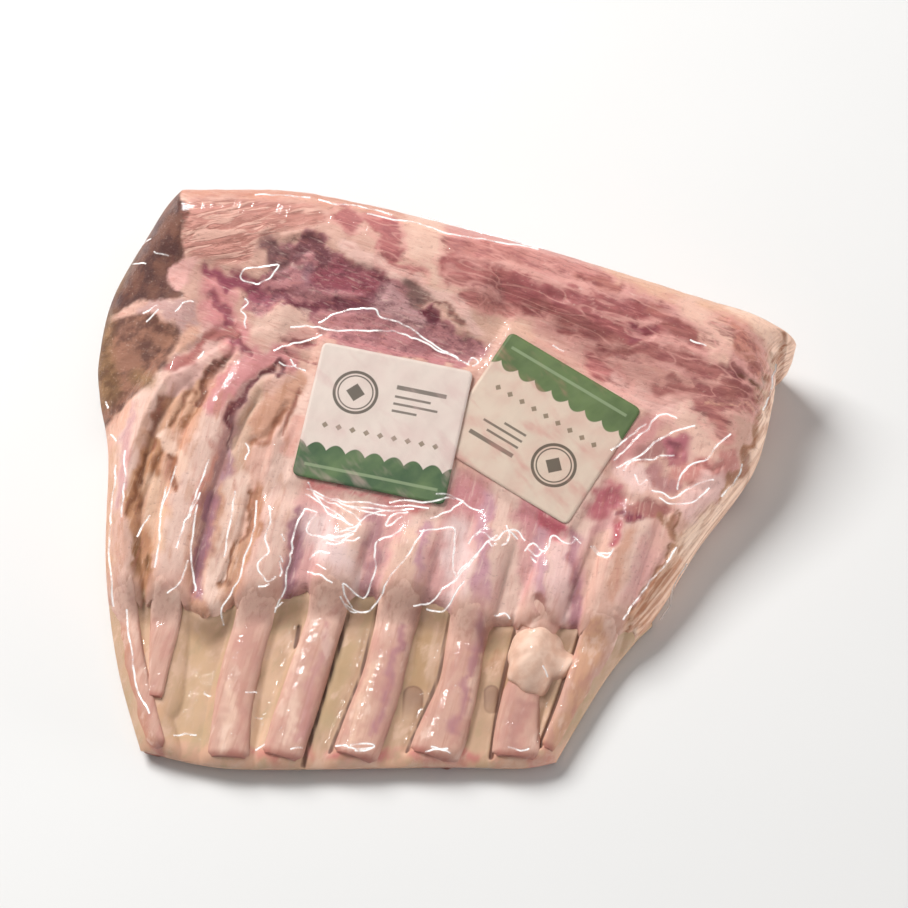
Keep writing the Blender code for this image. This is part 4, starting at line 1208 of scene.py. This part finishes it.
def crease_tree(material):
    tree = bpy.data.node_groups.new("crease_sweep", "GeometryNodeTree")
    tree.interface.new_socket("Paths", in_out="INPUT", socket_type="NodeSocketGeometry")
    for name in ("Width", "Height", "Step"):
        tree.interface.new_socket(name, in_out="INPUT", socket_type="NodeSocketFloat")
    tree.interface.new_socket("Seed", in_out="INPUT", socket_type="NodeSocketInt")
    tree.interface.new_socket("Creases", in_out="OUTPUT", socket_type="NodeSocketGeometry")

    def node(kind, settings=None, inputs=None):
        made = tree.nodes.new(kind)
        for key, value in (settings or {}).items():
            setattr(made, key, value)
        for key, value in (inputs or {}).items():
            if isinstance(value, bpy.types.NodeSocket):
                tree.links.new(value, made.inputs[key])
            else:
                made.inputs[key].default_value = value
        return made

    given = node("NodeGroupInput").outputs
    even = node("GeometryNodeResampleCurve", {"mode": "LENGTH"}, {"Curve": given["Paths"], "Length": given["Step"]})
    passed = node("GeometryNodeSplineParameter").outputs["Factor"]
    from_end = node("ShaderNodeMath", {"operation": "PINGPONG"}, {0: passed, 1: 0.5})
    taper = node("ShaderNodeMapRange", {"interpolation_type": "SMOOTHSTEP"}, {0: from_end.outputs[0], 1: 0.0, 2: 0.35, 3: 0.12, 4: 1.0})
    position = node("GeometryNodeInputPosition").outputs[0]
    uneven = node("ShaderNodeTexNoise", {}, {"Vector": position, "Scale": 260.0, "Detail": 1.0})
    swell = node("ShaderNodeMapRange", {}, {0: uneven.outputs[0], 1: 0.36, 2: 0.66, 3: 0.2, 4: 2.5})
    own = node("FunctionNodeRandomValue", {"data_type": "FLOAT"}, {2: 0.75, 3: 1.15, "Seed": given["Seed"]})
    drawn = node("ShaderNodeMath", {"operation": "MULTIPLY"}, {0: taper.outputs[0], 1: node("GeometryNodeInputRadius").outputs[0]})
    first = node("ShaderNodeMath", {"operation": "MULTIPLY"}, {0: drawn.outputs[0], 1: swell.outputs[0]})
    size = node("ShaderNodeMath", {"operation": "MULTIPLY"}, {0: first.outputs[0], 1: own.outputs[1]})
    sized = node("GeometryNodeSetCurveRadius", {}, {"Curve": even.outputs[0], "Radius": size.outputs[0]})
    ring = node("GeometryNodeCurvePrimitiveCircle", {"mode": "RADIUS"}, {"Resolution": 10, "Radius": 0.5})
    shape = node("ShaderNodeCombineXYZ", {}, {0: given["Width"], 1: given["Height"], 2: 1.0})
    beside = node("ShaderNodeSeparateXYZ", {}, {0: position})
    marked = node("GeometryNodeStoreNamedAttribute", {"data_type": "FLOAT", "domain": "POINT"}, {
        "Geometry": ring.outputs[0], "Name": "across", "Value": beside.outputs[0]})
    profile = node("GeometryNodeTransform", {}, {"Geometry": marked.outputs[0], "Scale": shape.outputs[0]})
    swept = node("GeometryNodeCurveToMesh", {}, {"Curve": sized.outputs[0], "Profile Curve": profile.outputs[0], "Fill Caps": True})
    smooth = node("GeometryNodeSetShadeSmooth", {}, {0: swept.outputs[0]})
    real = node("GeometryNodeRealizeInstances", {}, {0: smooth.outputs[0]})
    dressed = node("GeometryNodeSetMaterial", {}, {"Geometry": real.outputs[0], "Material": material})
    node("NodeGroupOutput", {}, {0: dressed.outputs[0]})
    return tree


def crease_glint_finish():
    finish = Finish("crease_painted_glint")
    clear = finish.node("ShaderNodeBsdfTransparent").outputs[0]
    # painted highlight: a near-white, partly opaque finish, strongest along the middle of each crease and broken up by
    # noise, stands in for the glint of light on the fold
    painted_glint = principled(finish, (0.97, 0.95, 0.94, 1.0), 0.2, **{"Coat Weight": 1.0, "Coat Roughness": 0.1})
    middle = abs(finish.attribute("across")).step(0.5, 0.0)
    broken = finish.noise((5, 5), detail=5).step(0.36, 0.6)
    share = middle * (0.16 + broken * 0.8)
    return finish.finish(finish.node("ShaderNodeMixShader", {}, {0: share, 1: clear, 2: painted_glint}).outputs[0])


def as_mesh(source, name):
    """The evaluated object as a plain mesh object under a new name."""
    graph = bpy.context.evaluated_depsgraph_get()
    data = bpy.data.meshes.new_from_object(source.evaluated_get(graph))
    for modifier in list(source.modifiers):
        source.modifiers.remove(modifier)
    bpy.data.objects.remove(source, do_unlink=True)
    piece = bpy.data.objects.new(name, data)
    bpy.context.scene.collection.objects.link(piece)
    return piece


paths = crease_paths()
sweep = paths.modifiers.new("sweep", "NODES")
sweep.node_group = crease_tree(crease_glint_finish())
for item in sweep.node_group.interface.items_tree:
    sizes = {"Width": CREASE_WIDTH * MM, "Height": CREASE_HEIGHT * MM, "Step": 0.7 * MM, "Seed": 5}
    if item.item_type == "SOCKET" and item.in_out == "INPUT" and item.name in sizes:
        sweep[item.identifier] = sizes[item.name]
creases = as_mesh(paths, "film_crease_glints")
print("creases have", len(creases.data.polygons), "faces")
creases.visible_shadow = False  # they are folds of the clear film itself
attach(creases, "root")

# %% [markdown]
# ## The film's finish
# Clear film is nearly all transparent, and what the eye reads is its gloss. So light passes straight
# through, and a Fresnel factor adds a sharp reflection that grows at the sides. A fine bump breaks the
# reflection up. Glass would bend the view of the meat, which a film this thin doesn't do.

# %% Finish of the film


def film_finish():
    finish = Finish("clear_film")
    pull = finish.noise((22, 2.6), 76, detail=3) + finish.noise((5, 3), 10, detail=3, shift=0.07) * 0.8
    normal = bump(finish, pull, 0.5, 0.7)
    clear = finish.node("ShaderNodeBsdfTransparent").outputs[0]
    gloss = finish.node("ShaderNodeBsdfGlossy", {}, {"Color": (1.0, 1.0, 1.0, 1.0), "Roughness": 0.09, "Normal": normal}).outputs[0]
    fresnel = Wire(finish, finish.node("ShaderNodeFresnel", {}, {"IOR": 1.5, "Normal": normal}).outputs[0])
    clings = finish.noise((7, 4), 60, detail=4, roughness=0.6, shift=0.09).step(0.42, 0.62)
    share = (fresnel * 1.1).lesser(0.06) * (0.12 + clings * 0.88)
    return finish.finish(finish.node("ShaderNodeMixShader", {}, {0: share, 1: clear, 2: gloss}).outputs[0])


film.data.materials.append(film_finish())
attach(film, "root")
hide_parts("bag")

# %% [markdown]
# ## Floor, light and camera
# A pale floor and soft daylight from a window behind and to the left suit a glossy pack: the window lights it
# and throws its shadow to the right, and a small lamp seen only in reflections gives the film its glints. The camera
# looks down steeply from the rib side.

# %% Stage
CAMERA_AIM = Vector((2.1, 7.2, 20.0)) * MM
CAMERA_DISTANCE = 1.05
CAMERA_ELEVATION = 60.0
LENS = 116.6


def add_floor():
    bpy.ops.mesh.primitive_plane_add(size=6.0)
    floor = bpy.context.object
    floor.name = "floor"
    finish = Finish("floor_paint")
    tint = finish.noise((400, 300)).step(0.3, 0.7)
    colour = finish.blend((0.78, 0.78, 0.78, 1.0), (0.80, 0.80, 0.80, 1.0), tint)
    floor.data.materials.append(finish.finish(principled(finish, colour, 0.8)))


def add_light(name, place, size, power, tint=(1.0, 1.0, 1.0), diffuse=True, glossy=True):
    data = bpy.data.lights.new(name, "AREA")
    data.shape = "RECTANGLE"
    data.size, data.size_y = size
    data.energy = power
    data.color = tint
    light = bpy.data.objects.new(name, data)
    light.visible_diffuse = diffuse
    light.visible_glossy = glossy
    way = Vector((0.0, 0.0, 0.02)) - Vector(place)
    light.matrix_world = Matrix.Translation(place) @ way.to_track_quat("-Z", "Y").to_matrix().to_4x4()
    bpy.context.scene.collection.objects.link(light)


add_floor()
add_light("window", (-0.85, 0.8, 1.25), (0.95, 0.8), 38.0, (1.0, 0.99, 0.97), glossy=False)
add_light("ceiling", (0.2, -0.5, 1.9), (1.6, 1.6), 3.0, glossy=False)
add_light("fill", (1.25, -0.3, 0.17), (0.8, 0.25), 8.5, glossy=False)
add_light("glints", (-0.5, 0.9, 1.3), (0.3, 0.25), 13.0, diffuse=False)

world = bpy.data.worlds.new("room")
world.use_nodes = True
world.node_tree.nodes["Background"].inputs["Color"].default_value = (1.0, 0.99, 0.98, 1.0)
world.node_tree.nodes["Background"].inputs["Strength"].default_value = 0.2
bpy.context.scene.world = world
bpy.context.scene.view_settings.view_transform = "Standard"

lens = bpy.data.cameras.new("camera")
lens.lens = LENS
lens.sensor_width = 36.0
camera = bpy.data.objects.new("camera", lens)
elevation = math.radians(CAMERA_ELEVATION)
camera.location = CAMERA_AIM + CAMERA_DISTANCE * Vector((0.0, -math.cos(elevation), math.sin(elevation)))
camera.rotation_euler = (math.pi / 2 - elevation, 0.0, 0.0)
bpy.context.scene.collection.objects.link(camera)
bpy.context.scene.camera = camera
